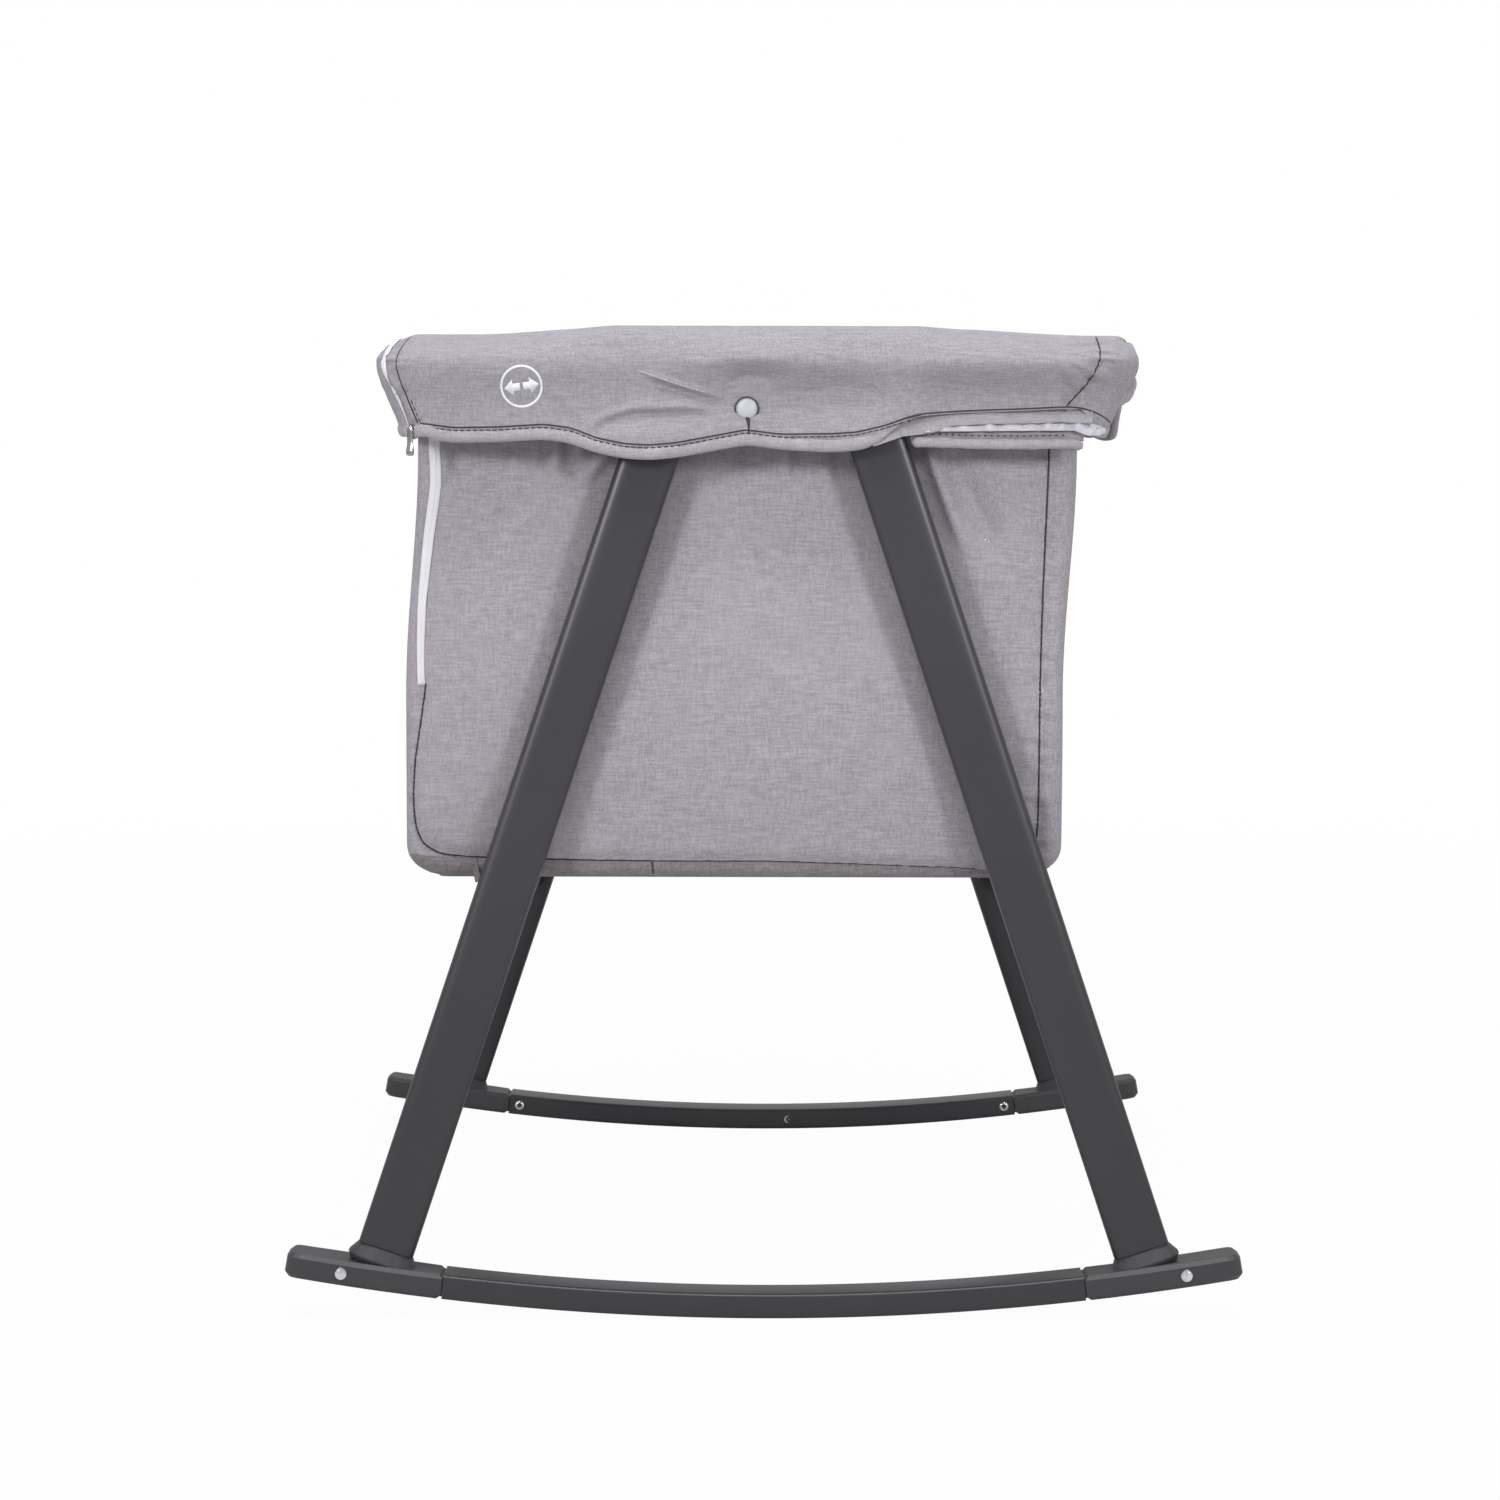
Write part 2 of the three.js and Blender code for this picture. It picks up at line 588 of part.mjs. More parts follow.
// A round boss on the leg's inner face, with two ears and a pin for the stay.
function stayBoss(k, s) {
  const seat = -s * (LEG_DEPTH / 2 + FIT);
  const pivot = -s * (LEG_Y - STAY_PIVOT_Y);
  const disc = extrude(circle(BOSS_RADIUS, 0, 0, 20), 'y', seat, seat - s * BOSS_DISC);
  const inner = STAY_THICKNESS / 2 + RUNNING;
  const middle = s * STAY_OFFSET;
  const ears = [-1, 1].map((m) => extrude(
    slot(pivot, seat - s * (BOSS_DISC / 2 + STAY_WIDTH / 2), 0, STAY_WIDTH / 2),
    'x',
    middle + m * inner,
    middle + m * (inner + BOSS_EAR),
  ));
  const shaft = extrude(
    circle(STAY_PIN_RADIUS, pivot, 0),
    'x',
    middle - inner - BOSS_EAR,
    middle + inner + BOSS_EAR,
  );
  return onLeg(shapeFrom([disc, ...ears, shaft]), k, s, STAY_Z);
}

// ---------------------------------------------------------------- folding links

// One half of a side stay, a flat bar beside its partner at the knuckle.
function stay(k, s) {
  const knuckle = -s * LEG_Y;
  const pivot = s * (STAY_PIVOT_Y - LEG_Y);
  const bar = slot(pivot, knuckle, 0, STAY_WIDTH / 2);
  bar.holes.push(circle(STAY_PIN_RADIUS + FIT, pivot, 0));
  bar.holes.push(circle(STAY_PIN_RADIUS + FIT, knuckle, 0));
  const middle = s * STAY_OFFSET;
  const flat = extrude(bar, 'x', middle - STAY_THICKNESS / 2, middle + STAY_THICKNESS / 2);
  return onLeg(flat, k, s, STAY_Z);
}

// The rivet that two stay halves turn on.
function knucklePin(k) {
  const face = STAY_OFFSET + STAY_THICKNESS / 2 + FIT;
  const profile = [
    [0, -face - RIVET_HEAD_HEIGHT],
    [RIVET_HEAD_RADIUS - 1, -face - RIVET_HEAD_HEIGHT],
    [RIVET_HEAD_RADIUS, -face],
    [STAY_PIN_RADIUS, -face],
  ];
  const mirrored = profile.map(([r, h]) => [r, -h]).reverse();
  const place = new THREE.Vector3(k * legX(STAY_Z), 0, STAY_Z);
  return turned([...profile, ...mirrored], place, legAcross(k));
}

// Half of a side rail: a round bar with a flat tongue at each end.
function sideRail(k, s) {
  const x = k * SIDE_RAIL_X;
  const inner = LATCH_HALF_PITCH;
  const neck = TONGUE_RADIUS + SWING;
  const bar = turned(
    [[0, inner + neck], [RAIL_RADIUS, inner + neck], [RAIL_RADIUS, RAIL_PIVOT_Y - neck],
      [0, RAIL_PIVOT_Y - neck]],
    new THREE.Vector3(x, 0, RAIL_Z),
    new THREE.Vector3(0, s, 0),
  );
  const flat = slot(s * inner, s * RAIL_PIVOT_Y, RAIL_Z, TONGUE_RADIUS - RUNNING);
  const tongues = extrude(flat, 'x', x - TONGUE_WIDTH / 2, x + TONGUE_WIDTH / 2);
  const bores = [inner, RAIL_PIVOT_Y].map((y) => extrude(
    circle(RAIL_PIN_RADIUS + FIT, s * y, RAIL_Z),
    'x',
    x - RAIL_RADIUS,
    x + RAIL_RADIUS,
  ));
  return shapeFrom([bar, tongues], bores);
}

// Joins two side rail halves in the middle of the tub and stays level as they fold.
function latchBlock(k) {
  const x = k * SIDE_RAIL_X;
  const webHalf = LATCH_HALF_PITCH - TONGUE_RADIUS - SWING;
  const web = block(
    x - CORNER_HALF,
    x + CORNER_HALF,
    -webHalf,
    webHalf,
    RAIL_Z - LATCH_HALF_HEIGHT,
    RAIL_Z + TONGUE_RADIUS,
  );
  const ears = [-1, 1].map((m) => extrude(
    slot(-LATCH_HALF_PITCH, LATCH_HALF_PITCH, RAIL_Z, TONGUE_RADIUS),
    'x',
    x + m * (CORNER_HALF - EAR_WALL),
    x + m * CORNER_HALF,
  ));
  const shafts = [-1, 1].map((m) => extrude(
    circle(RAIL_PIN_RADIUS, m * LATCH_HALF_PITCH, RAIL_Z),
    'x',
    x - CORNER_HALF,
    x + CORNER_HALF,
  ));
  const buttonTop = RAIL_Z - LATCH_HALF_HEIGHT - BUTTON_PROUD + BUTTON_HEIGHT;
  const pocket = block(
    x - BUTTON_WIDTH / 2 - RUNNING,
    x + BUTTON_WIDTH / 2 + RUNNING,
    -BUTTON_LENGTH / 2 - RUNNING,
    BUTTON_LENGTH / 2 + RUNNING,
    RAIL_Z - LATCH_HALF_HEIGHT - 1,
    buttonTop + BUTTON_TRAVEL + FIT,
  );
  return shapeFrom([web, ...ears, ...shafts], [pocket]);
}

function latchButton(k) {
  const bottom = RAIL_Z - LATCH_HALF_HEIGHT - BUTTON_PROUD;
  const plan = roundedRectangle(BUTTON_WIDTH / 2, BUTTON_LENGTH / 2, 2);
  return extrude(plan, 'z', bottom, bottom + BUTTON_HEIGHT).translate(k * SIDE_RAIL_X, 0, 0);
}

// ---------------------------------------------------------------- tub

// How far a slanted end panel's face stands from the middle at height z.
function panelFace(outset, z) {
  return outset - (PANEL_SLANT * (z - TUB_BOTTOM_Z)) / (PANEL_TOP_Z - TUB_BOTTOM_Z);
}

// The part of a slanted wall between two outsets and two heights, seen from the side, along all of X.
function slantedSlab(s, inner, outer, low, high) {
  const profile = polygon([
    [s * panelFace(inner, low), low],
    [s * panelFace(outer, low), low],
    [s * panelFace(outer, high), high],
    [s * panelFace(inner, high), high],
  ]);
  return extrude(profile, 'x', -COLLAR_HALF_WIDTH, COLLAR_HALF_WIDTH);
}

// How far the hanging tub has shifted along X at height z.
function lean(z) {
  const knees = [
    [TUB_BOTTOM_Z, TUB_LEAN],
    [TUB_LOW_Z, TUB_LEAN],
    [TUB_HIGH_Z, TUB_LEAN_HIGH],
    [PANEL_TOP_Z, 0],
    [TUB_TOP_Z, 0],
  ];
  const above = Math.max(1, knees.findIndex(([height]) => height >= z));
  const [[low, before], [high, after]] = knees.slice(above - 1, above + 1);
  return -THREE.MathUtils.mapLinear(z, low, high, before, after);
}

// What lies between two upright lines that lean with the tub, seen from an end, along all of Y.
function leaningSlab(x0, x1, low, high) {
  const between = [TUB_LOW_Z, TUB_HIGH_Z, PANEL_TOP_Z].filter((z) => z > low && z < high);
  const heights = [low, ...between, high];
  const outline = polygon([
    ...heights.map((z) => [x0 + lean(z), z]),
    ...heights.reverse().map((z) => [x1 + lean(z), z]),
  ]);
  return extrude(outline, 'y', -COLLAR_HALF_LENGTH, COLLAR_HALF_LENGTH);
}

// A stiffened end wall with a ledge that the floor board rests on.
function endPanel(s) {
  const wall = commonTo(
    slantedSlab(s, PANEL_INNER_Y, PANEL_OUTSET, TUB_BOTTOM_Z, PANEL_TOP_Z),
    leaningSlab(-TUB_HALF_WIDTH, TUB_HALF_WIDTH, TUB_BOTTOM_Z, PANEL_TOP_Z),
  );
  const ledgeHalf = FLOOR_HALF_WIDTH + FLOOR_MARGIN - SWING;
  const ledge = block(
    FLOOR_X - ledgeHalf,
    FLOOR_X + ledgeHalf,
    s * (FLOOR_PIVOT_Y - LEDGE_OVERLAP),
    s * (PANEL_INNER_Y + PANEL_THICKNESS / 2),
    TUB_BOTTOM_Z,
    TUB_BOTTOM_Z + LEDGE_THICKNESS,
  );
  return shapeFrom([wall, ledge]);
}

// A long fabric side, cut back at the top for the corner sockets. The right one leans in over the
// floor; the left one hangs straight down, clear of the side rails' way as they fold.
function sidePanel(k) {
  const notchY = END_RAIL_Y - RAIL_RADIUS - SOCKET_WALL - SWING;
  const low = panelFace(PANEL_INNER_Y, TUB_BOTTOM_Z) - RUNNING;
  const high = panelFace(PANEL_INNER_Y, PANEL_TOP_Z) - RUNNING;
  const half = [[low, TUB_BOTTOM_Z], [high, PANEL_TOP_Z], [notchY, PANEL_TOP_Z], [notchY, TUB_TOP_Z]];
  const outline = polygon([...half, ...half.map(([y, z]) => [-y, z]).reverse()]);
  const [inner, outer] = [TUB_HALF_WIDTH - TUB_WALL, TUB_HALF_WIDTH];
  if (k < 0) return extrude(outline, 'x', -inner, -outer);
  const side = extrude(outline, 'x', inner - TUB_LEAN, outer);
  return commonTo(side, leaningSlab(inner, outer, TUB_BOTTOM_Z, TUB_TOP_Z));
}

function floorBoard(s) {
  return block(
    FLOOR_X - FLOOR_HALF_WIDTH,
    FLOOR_X + FLOOR_HALF_WIDTH,
    (s * FLOOR_SEAM) / 2,
    s * FLOOR_PIVOT_Y,
    FLOOR_Z,
    FLOOR_Z + BOARD_THICKNESS,
  );
}

function mattressPad(s) {
  const low = FLOOR_Z + BOARD_THICKNESS + FIT;
  const halfLength = (FLOOR_PIVOT_Y - 2 * PAD_INSET) / 2;
  const plan = roundedRectangle(FLOOR_HALF_WIDTH - PAD_INSET, halfLength, 4 * PAD_EDGE);
  const pad = extrude(plan, 'z', low, low + PAD_THICKNESS, { bevel: PAD_EDGE });
  return pad.translate(FLOOR_X, s * (PAD_INSET + halfLength), 0);
}

// ---------------------------------------------------------------- collar

// A ring seen from above, between two rounded rectangles.
function ring(halfWidth, halfLength, radius, innerWidth, innerLength, innerRadius, low, high) {
  const shape = roundedRectangle(halfWidth, halfLength, radius, 8);
  shape.holes.push(roundedRectangle(innerWidth, innerLength, innerRadius, 8));
  return extrude(shape, 'z', low, high);
}

// The whole collar: a hanging flap all round and a flat strip over the rails.
function collarRing() {
  const flap = ring(
    COLLAR_HALF_WIDTH,
    COLLAR_HALF_LENGTH,
    COLLAR_CORNER,
    COLLAR_HALF_WIDTH - COLLAR_WALL,
    COLLAR_HALF_LENGTH - COLLAR_WALL,
    COLLAR_CORNER - COLLAR_WALL,
    COLLAR_BOTTOM_Z,
    COLLAR_TOP_Z,
  );
  const strip = ring(
    COLLAR_HALF_WIDTH,
    COLLAR_HALF_LENGTH,
    COLLAR_CORNER,
    TUB_HALF_WIDTH,
    COLLAR_OPENING_HALF_LENGTH,
    COLLAR_WALL,
    COLLAR_TOP_Z - COLLAR_TOP_THICKNESS,
    COLLAR_TOP_Z,
  );
  return shapeFrom([flap, strip]);
}

function collarBand(x0, x1, y0, y1) {
  return commonTo(collarRing(), block(x0, x1, y0, y1, COLLAR_BOTTOM_Z - 1, COLLAR_TOP_Z + 1));
}

// Where the zip's slider sits on the collar's corner, and which way it faces there.
function zipPlace() {
  const outwards = new THREE.Vector3(Math.cos(ZIP_ANGLE), Math.sin(ZIP_ANGLE), 0);
  const origin = outwards.clone().multiplyScalar(COLLAR_CORNER);
  origin.x -= COLLAR_HALF_WIDTH - COLLAR_CORNER;
  origin.y -= COLLAR_HALF_LENGTH - COLLAR_CORNER;
  origin.z = ZIP_Z;
  return { origin, outwards };
}

// Puts a geometry drawn as (outwards, along the hem, up) at the zip's slider.
function atZip(geometry) {
  const { origin, outwards } = zipPlace();
  const up = new THREE.Vector3(0, 0, 1);
  const along = new THREE.Vector3().crossVectors(up, outwards);
  return geometry.applyMatrix4(new THREE.Matrix4().makeBasis(outwards, along, up).setPosition(origin));
}

function zipStandOff() {
  return PULLER_THICKNESS + ZIP_PIN_RADIUS + RUNNING;
}

// Two posts and a pin on the hem, for the puller to hang from.
function zipStaple() {
  const half = PULLER_WIDTH / 2 + FIT;
  const out = zipStandOff() + ZIP_PIN_RADIUS;
  const posts = [-1, 1].map((m) => block(
    -COLLAR_WALL / 2,
    out,
    m * half,
    m * (half + ZIP_POST),
    -ZIP_PIN_RADIUS,
    ZIP_PIN_RADIUS,
  ));
  const place = new THREE.Vector3(zipStandOff(), 0, 0);
  const across = pin(ZIP_PIN_RADIUS, -half - FIT, half + FIT, place, new THREE.Vector3(0, 1, 0));
  return atZip(shapeFrom([...posts, across]));
}

function zipPuller() {
  const wall = 1;
  const barrel = ZIP_PIN_RADIUS + FIT + wall;
  const x = zipStandOff();
  const eye = circle(barrel, x, 0);
  const tongue = block(
    x - PULLER_THICKNESS / 2,
    x + PULLER_THICKNESS / 2,
    -PULLER_WIDTH / 2,
    PULLER_WIDTH / 2,
    -PULLER_LENGTH,
    -barrel / 2,
  );
  const bore = extrude(circle(ZIP_PIN_RADIUS + FIT, x, 0), 'y', -PULLER_WIDTH, PULLER_WIDTH);
  const round = extrude(eye, 'y', -PULLER_WIDTH / 2, PULLER_WIDTH / 2);
  return atZip(shapeFrom([round, tongue], [bore]));
}

function endCollar(s) {
  const x = COLLAR_HALF_WIDTH + 1;
  const y = COLLAR_HALF_LENGTH + 1;
  const band = collarBand(-x, x, s * (COLLAR_SPLIT + COLLAR_SEAM / 2), s * y);
  const hole = extrude(
    circle(SNAP_STUD_RADIUS + FIT, s * SNAP_X, SNAP_Z),
    'y',
    s * (COLLAR_HALF_LENGTH - 2 * COLLAR_WALL),
    s * y,
  );
  return shapeFrom(s < 0 ? [band, zipStaple()] : [band], [hole]);
}

function sideCollar(k) {
  const y = COLLAR_SPLIT - COLLAR_SEAM / 2;
  return collarBand(0, k * (COLLAR_HALF_WIDTH + 1), -y, y);
}

// A snap cap outside the flap, its stud reaching through it to the top bracket.
function snapButton(s) {
  const face = COLLAR_HALF_LENGTH + FIT;
  const rim = SNAP_RADIUS - 1;
  const profile = [
    [0, BRACKET_FACE_Y + FIT],
    [SNAP_STUD_RADIUS, BRACKET_FACE_Y + FIT],
    [SNAP_STUD_RADIUS, face],
    [SNAP_RADIUS, face],
    [SNAP_RADIUS, face + SNAP_HEIGHT / 2],
    [rim, face + SNAP_HEIGHT],
    [0, face + SNAP_HEIGHT],
  ];
  return turned(profile, new THREE.Vector3(s * SNAP_X, 0, SNAP_Z), new THREE.Vector3(0, s, 0), 20);
}

// A strip down the near end panel's left edge.
function zipTape() {
  const [low, high] = [TUB_BOTTOM_Z + TAPE_RISE, PANEL_TOP_Z];
  const x = TAPE_INSET - TUB_HALF_WIDTH;
  return commonTo(
    slantedSlab(-1, PANEL_OUTSET + FIT, PANEL_OUTSET + FIT + TAPE_THICKNESS, low, high),
    leaningSlab(x, x + TAPE_WIDTH, low, high),
  );
}

// ---------------------------------------------------------------- the object

const bassinet = new THREE.Group();

function put(name, geometry, material) {
  const mesh = new THREE.Mesh(geometry, material);
  mesh.name = name;
  bassinet.add(mesh);
}

for (const { end, s } of ENDS) {
  put(`${end}_rocker_tube`, rockerTube(s), charcoal);
  put(`${end}_top_bracket`, topBracket(s), mouldedGrey);
  put(`${end}_end_rail`, endRail(s), bareAluminium);
  put(`${end}_end_panel`, endPanel(s), linen);
  put(`${end}_end_collar`, endCollar(s), linen);
  put(`${end}_snap_button`, snapButton(s), whiteNylon);
  put(`${end}_floor_board`, floorBoard(s), linen);
  put(`${end}_mattress_pad`, mattressPad(s), padFabric);
  for (const { side, k } of SIDES) {
    put(`${end}_leg_${side}`, leg(k, s), charcoal);
    put(`${end}_foot_${side}`, foot(k, s), mouldedGrey);
    put(`${end}_flip_pin_${side}`, flipPin(k, s), steel);
    put(`${end}_flip_foot_${side}`, flipFoot(k, s), mouldedGrey);
    put(`${end}_corner_${side}`, corner(k, s), mouldedGrey);
    put(`${end}_stay_boss_${side}`, stayBoss(k, s), mouldedGrey);
    put(`${end}_stay_${side}`, stay(k, s), charcoal);
    put(`${end}_side_rail_${side}`, sideRail(k, s), bareAluminium);
  }
}

for (const { side, k } of SIDES) {
  put(`knuckle_pin_${side}`, knucklePin(k), steel);
  put(`latch_block_${side}`, latchBlock(k), mouldedGrey);
  put(`latch_button_${side}`, latchButton(k), mouldedGrey);
  put(`side_panel_${side}`, sidePanel(k), linen);
  put(`side_collar_${side}`, sideCollar(k), binding);
}

put('corner_zip_tape', zipTape(), whiteNylon);
put('zip_puller', zipPuller(), steel);

export default bassinet;
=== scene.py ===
"""A rocking bassinet on a folding stand: the finish and soft goods of each piece, in the order of assembly.
Metres. +X across the rockers, +Y along the tub from the near end to the far end, +Z up."""

import math

import bmesh
import bpy
import numpy as np
from mathutils import Matrix, Vector
from mathutils.bvhtree import BVHTree


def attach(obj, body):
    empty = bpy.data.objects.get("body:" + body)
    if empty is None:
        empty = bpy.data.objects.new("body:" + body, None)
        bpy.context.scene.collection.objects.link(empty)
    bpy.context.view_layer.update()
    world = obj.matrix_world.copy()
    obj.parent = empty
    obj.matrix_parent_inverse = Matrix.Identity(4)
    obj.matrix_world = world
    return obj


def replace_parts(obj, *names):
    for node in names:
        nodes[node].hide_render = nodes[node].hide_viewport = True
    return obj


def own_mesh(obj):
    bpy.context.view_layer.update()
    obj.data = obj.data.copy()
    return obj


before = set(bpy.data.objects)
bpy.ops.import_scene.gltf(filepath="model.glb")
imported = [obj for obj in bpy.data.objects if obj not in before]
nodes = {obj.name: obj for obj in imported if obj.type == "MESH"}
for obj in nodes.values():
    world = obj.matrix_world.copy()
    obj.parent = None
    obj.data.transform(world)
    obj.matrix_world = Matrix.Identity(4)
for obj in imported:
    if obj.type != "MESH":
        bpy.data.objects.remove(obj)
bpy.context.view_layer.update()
scene = bpy.context.scene
ENDS = {"near": -1, "far": 1}
SIDES = {"left": -1, "right": 1}


# ---------------------------------------------------------------- studio
# A long lens looks almost level at the near end. A broad overhead panel and a dim white room light
# it, two weak soft boxes touch the collar's ends, and a pale floor fades into white.

CAMERA_PLACE = (-0.00812, -3.41969, 0.63571)
CAMERA_DOWN, CAMERA_RIGHT, CAMERA_ROLL = 4.302, -0.051, 0.135  # degrees
camera = bpy.data.objects.new("camera", bpy.data.cameras.new("camera"))
camera.data.sensor_width = 36.0
camera.data.lens = 100.8
camera.data.clip_end = 200.0
scene.collection.objects.link(camera)
camera.matrix_world = (
    Matrix.Translation(CAMERA_PLACE)
    @ Matrix.Rotation(math.radians(-CAMERA_RIGHT), 4, "Z")
    @ Matrix.Rotation(math.radians(90 - CAMERA_DOWN), 4, "X")
    @ Matrix.Rotation(math.radians(CAMERA_ROLL), 4, "Z")
)
scene.camera = camera
scene.view_settings.view_transform = "Standard"


def soft_box(name, place, target, size, power, spread=180.0):
    """A square lamp at place that faces target, with a grid that keeps its light within a spread."""
    lamp = bpy.data.lights.new(name, "AREA")
    lamp.size = size
    lamp.energy = power
    lamp.spread = math.radians(spread)
    holder = bpy.data.objects.new(name, lamp)
    holder.location = place
    facing = Vector(target) - Vector(place)
    holder.rotation_euler = facing.to_track_quat("-Z", "Y").to_euler()
    scene.collection.objects.link(holder)


soft_box("left_box", (-2.2, -3.0, 1.6), (-0.17, -0.40, 0.68), 0.7, 1.0, 20.0)
soft_box("right_box", (2.2, -3.0, 1.6), (0.19, -0.40, 0.68), 0.7, 0.85, 20.0)
soft_box("top_panel", (0.0, -1.0, 3.2), (0.0, 0.0, 0.5), 1.8, 58)


class Value:
    """A socket of a node tree. Arithmetic on it adds Math nodes."""

    def __init__(self, graph, socket):
        self.graph, self.socket = graph, socket

    def maths(self, operation, *terms):
        return self.graph.node("Math", {"operation": operation}, dict(enumerate(terms)))

    def __add__(self, other):
        return self.maths("ADD", self, other)

    def __mul__(self, other):
        return self.maths("MULTIPLY", self, other)

    def __truediv__(self, other):
        return self.maths("DIVIDE", self, other)

    __radd__, __rmul__ = __add__, __mul__

    def larger(self, other):
        return self.maths("MAXIMUM", self, other)

    def between(self, low, high):
        """0 at low and below, 1 at high and above, with a soft step between."""
        settings = {"interpolation_type": "SMOOTHSTEP"}
        ends = {"Value": self, "From Min": low, "From Max": high}
        return self.graph.node("MapRange", settings, ends)


class Graph:
    """The nodes of a material or world, made one by one."""

    def __init__(self, owner):
        owner.use_nodes = True
        self.tree = owner.node_tree
        self.tree.nodes.clear()

    def node(self, kind, settings=None, inputs=None, output=0):
        made = self.tree.nodes.new("ShaderNode" + kind)
        for name, value in (settings or {}).items():
            setattr(made, name, value)
        for name, value in (inputs or {}).items():
            if isinstance(value, Value):
                self.tree.links.new(value.socket, made.inputs[name])
            else:
                made.inputs[name].default_value = value
        return Value(self, made.outputs[output]) if made.outputs else made

    def mix(self, share, low, high):
        """A colour between low and high."""
        return self.node("Mix", {"data_type": "RGBA"}, {0: share, 6: low, 7: high}, 2)

    def seen(self):
        """1 for a ray that sees a surface directly or through the net."""
        path = self.node("LightPath")
        return path.larger(Value(self, path.socket.node.outputs["Is Transmission Ray"]))


WHITE = (1.0, 1.0, 1.0, 1.0)
room = bpy.data.worlds.new("white_room")
scene.world = room
walls = Graph(room)
ROOM_LIGHT = 0.42
glossy = Value(walls, walls.node("LightPath").socket.node.outputs["Is Glossy Ray"])
lit = walls.node("Background", None, {"Color": WHITE, "Strength": glossy * 0.16 + ROOM_LIGHT})
shown = walls.node("Background", None, {"Color": WHITE, "Strength": 1.0})
blend = {0: walls.seen(), 1: lit, 2: shown}
walls.node("OutputWorld", None, {"Surface": walls.node("MixShader", None, blend)})

FLOOR_HALF = 30.0
FLOOR_GLOW = 0.97  # share of the floor that always shows as white, near the object
FLOOR_NEAR, FLOOR_FAR = 1.2, 4.0  # from where it starts to show only white, and does
floor_paint = bpy.data.materials.new("pale_floor")
paper = Graph(floor_paint)
matt = paper.node("BsdfDiffuse", None, {"Color": (0.86, 0.86, 0.86, 1.0)})
glow = paper.node("Emission", None, {"Color": WHITE, "Strength": 1.0})
spot = paper.node("TexCoord", None, None, "Object")
away = paper.node("VectorMath", {"operation": "LENGTH"}, {0: spot}, "Value").between(FLOOR_NEAR, FLOOR_FAR)
blend = {0: paper.seen() * (away * (1 - FLOOR_GLOW) + FLOOR_GLOW), 1: matt, 2: glow}
paper.node("OutputMaterial", None, {"Surface": paper.node("MixShader", None, blend)})
floor_corners = [(x * FLOOR_HALF, y * FLOOR_HALF, -0.0005) for x, y in ((-1, -1), (1, -1), (1, 1), (-1, 1))]
floor_mesh = bpy.data.meshes.new("floor")
floor_mesh.from_pydata(floor_corners, [], [(0, 1, 2, 3)])
floor_mesh.materials.append(floor_paint)
floor = bpy.data.objects.new("floor", floor_mesh)
scene.collection.objects.link(floor)


# ---------------------------------------------------------------- rocker tubes
# Each rocker is a curved steel tube of flat, round-edged section with a satin charcoal powder
# coat. A pop rivet on the inner face near each end holds the foot that plugs into it.

ROCKER_RADIUS = 2.0
ROCKER_ARC = 0.2328  # half the tube's length along the floor curve
ROCKER_DEPTH, ROCKER_HEIGHT, ROCKER_EDGE = 0.038, 0.018, 0.0034
FRAME_Y = 0.415  # from the middle to each A-frame
STEEL_RIVET = 0.0044


class Finish(Graph):
    """The nodes of a new material, placed by the object's own coordinates."""

    def __init__(self, name):
        self.material = bpy.data.materials.new(name)
        super().__init__(self.material)
        self.place = self.node("TexCoord", None, None, "Object")

    def noise(self, scale, detail=2.0, roughness=0.5):
        """Noise from 0 to 1, in waves per metre: one number, or one each along X, Y and Z."""
        scales = scale if isinstance(scale, tuple) else (scale,) * 3
        stretched = self.node("VectorMath", {"operation": "MULTIPLY"}, {0: self.place, 1: scales})
        inputs = {"Vector": stretched, "Scale": 1.0, "Detail": detail, "Roughness": roughness}
        return self.node("TexNoise", None, inputs)

    def surfaced(self, surface, height, strength, distance):
        """The material, with these inputs of its surface and a bump."""
        bump = {"Strength": strength, "Distance": distance, "Height": height}
        surface = dict(surface, Normal=self.node("Bump", None, bump))
        self.node("OutputMaterial", None, {"Surface": self.node("BsdfPrincipled", None, surface)})
        return self.material


def shade(colour, share):
    """A colour made darker, or lighter where share is above 1."""
    return tuple(share * c for c in colour[:3]) + (1.0,)


def powder_coat(name, colour, sheen_colour, roughness):
    """Satin powder coat: a faint orange peel and slightly uneven gloss."""
    g = Finish(name)
    peel, speck, cloud = g.noise(420.0), g.noise(2600.0, 1.0), g.noise(9.0, 3.0)
    surface = {
        "Base Color": g.mix(cloud * 0.6 + speck * 0.4, colour, sheen_colour),
        "Roughness": cloud * 0.10 + roughness,
        "Specular IOR Level": 0.5,
    }
    return g.surfaced(surface, peel + speck * 0.5, 0.10, 0.0004)


def bright_metal(name, colour, roughness):
    """Plated or polished metal with fine rub marks."""
    g = Finish(name)
    rub, smudge = g.noise((900.0, 900.0, 2400.0), 3.0), g.noise(60.0, 3.0)
    surface = {
        "Base Color": g.mix(smudge.between(0.35, 0.7), shade(colour, 0.82), colour),
        "Metallic": 1.0,
        "Roughness": rub * 0.06 + smudge * 0.06 + roughness,
    }
    return g.surfaced(surface, rub, 0.04, 0.0002)


def build(name, points, faces, finish, body=None, slot=None):
    """A smooth-shaded mesh object in finish; it rides on body. slot is not used."""
    mesh = bpy.data.meshes.new(name)
    mesh.from_pydata([tuple(p) for p in points], [], faces)
    work = bmesh.new()
    work.from_mesh(mesh)
    bmesh.ops.recalc_face_normals(work, faces=work.faces)
    work.to_mesh(mesh)
    work.free()
    mesh.materials.append(finish)
    mesh.shade_smooth()
    made = bpy.data.objects.new(name, mesh)
    scene.collection.objects.link(made)
    if body:
        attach(made, body)
    return made


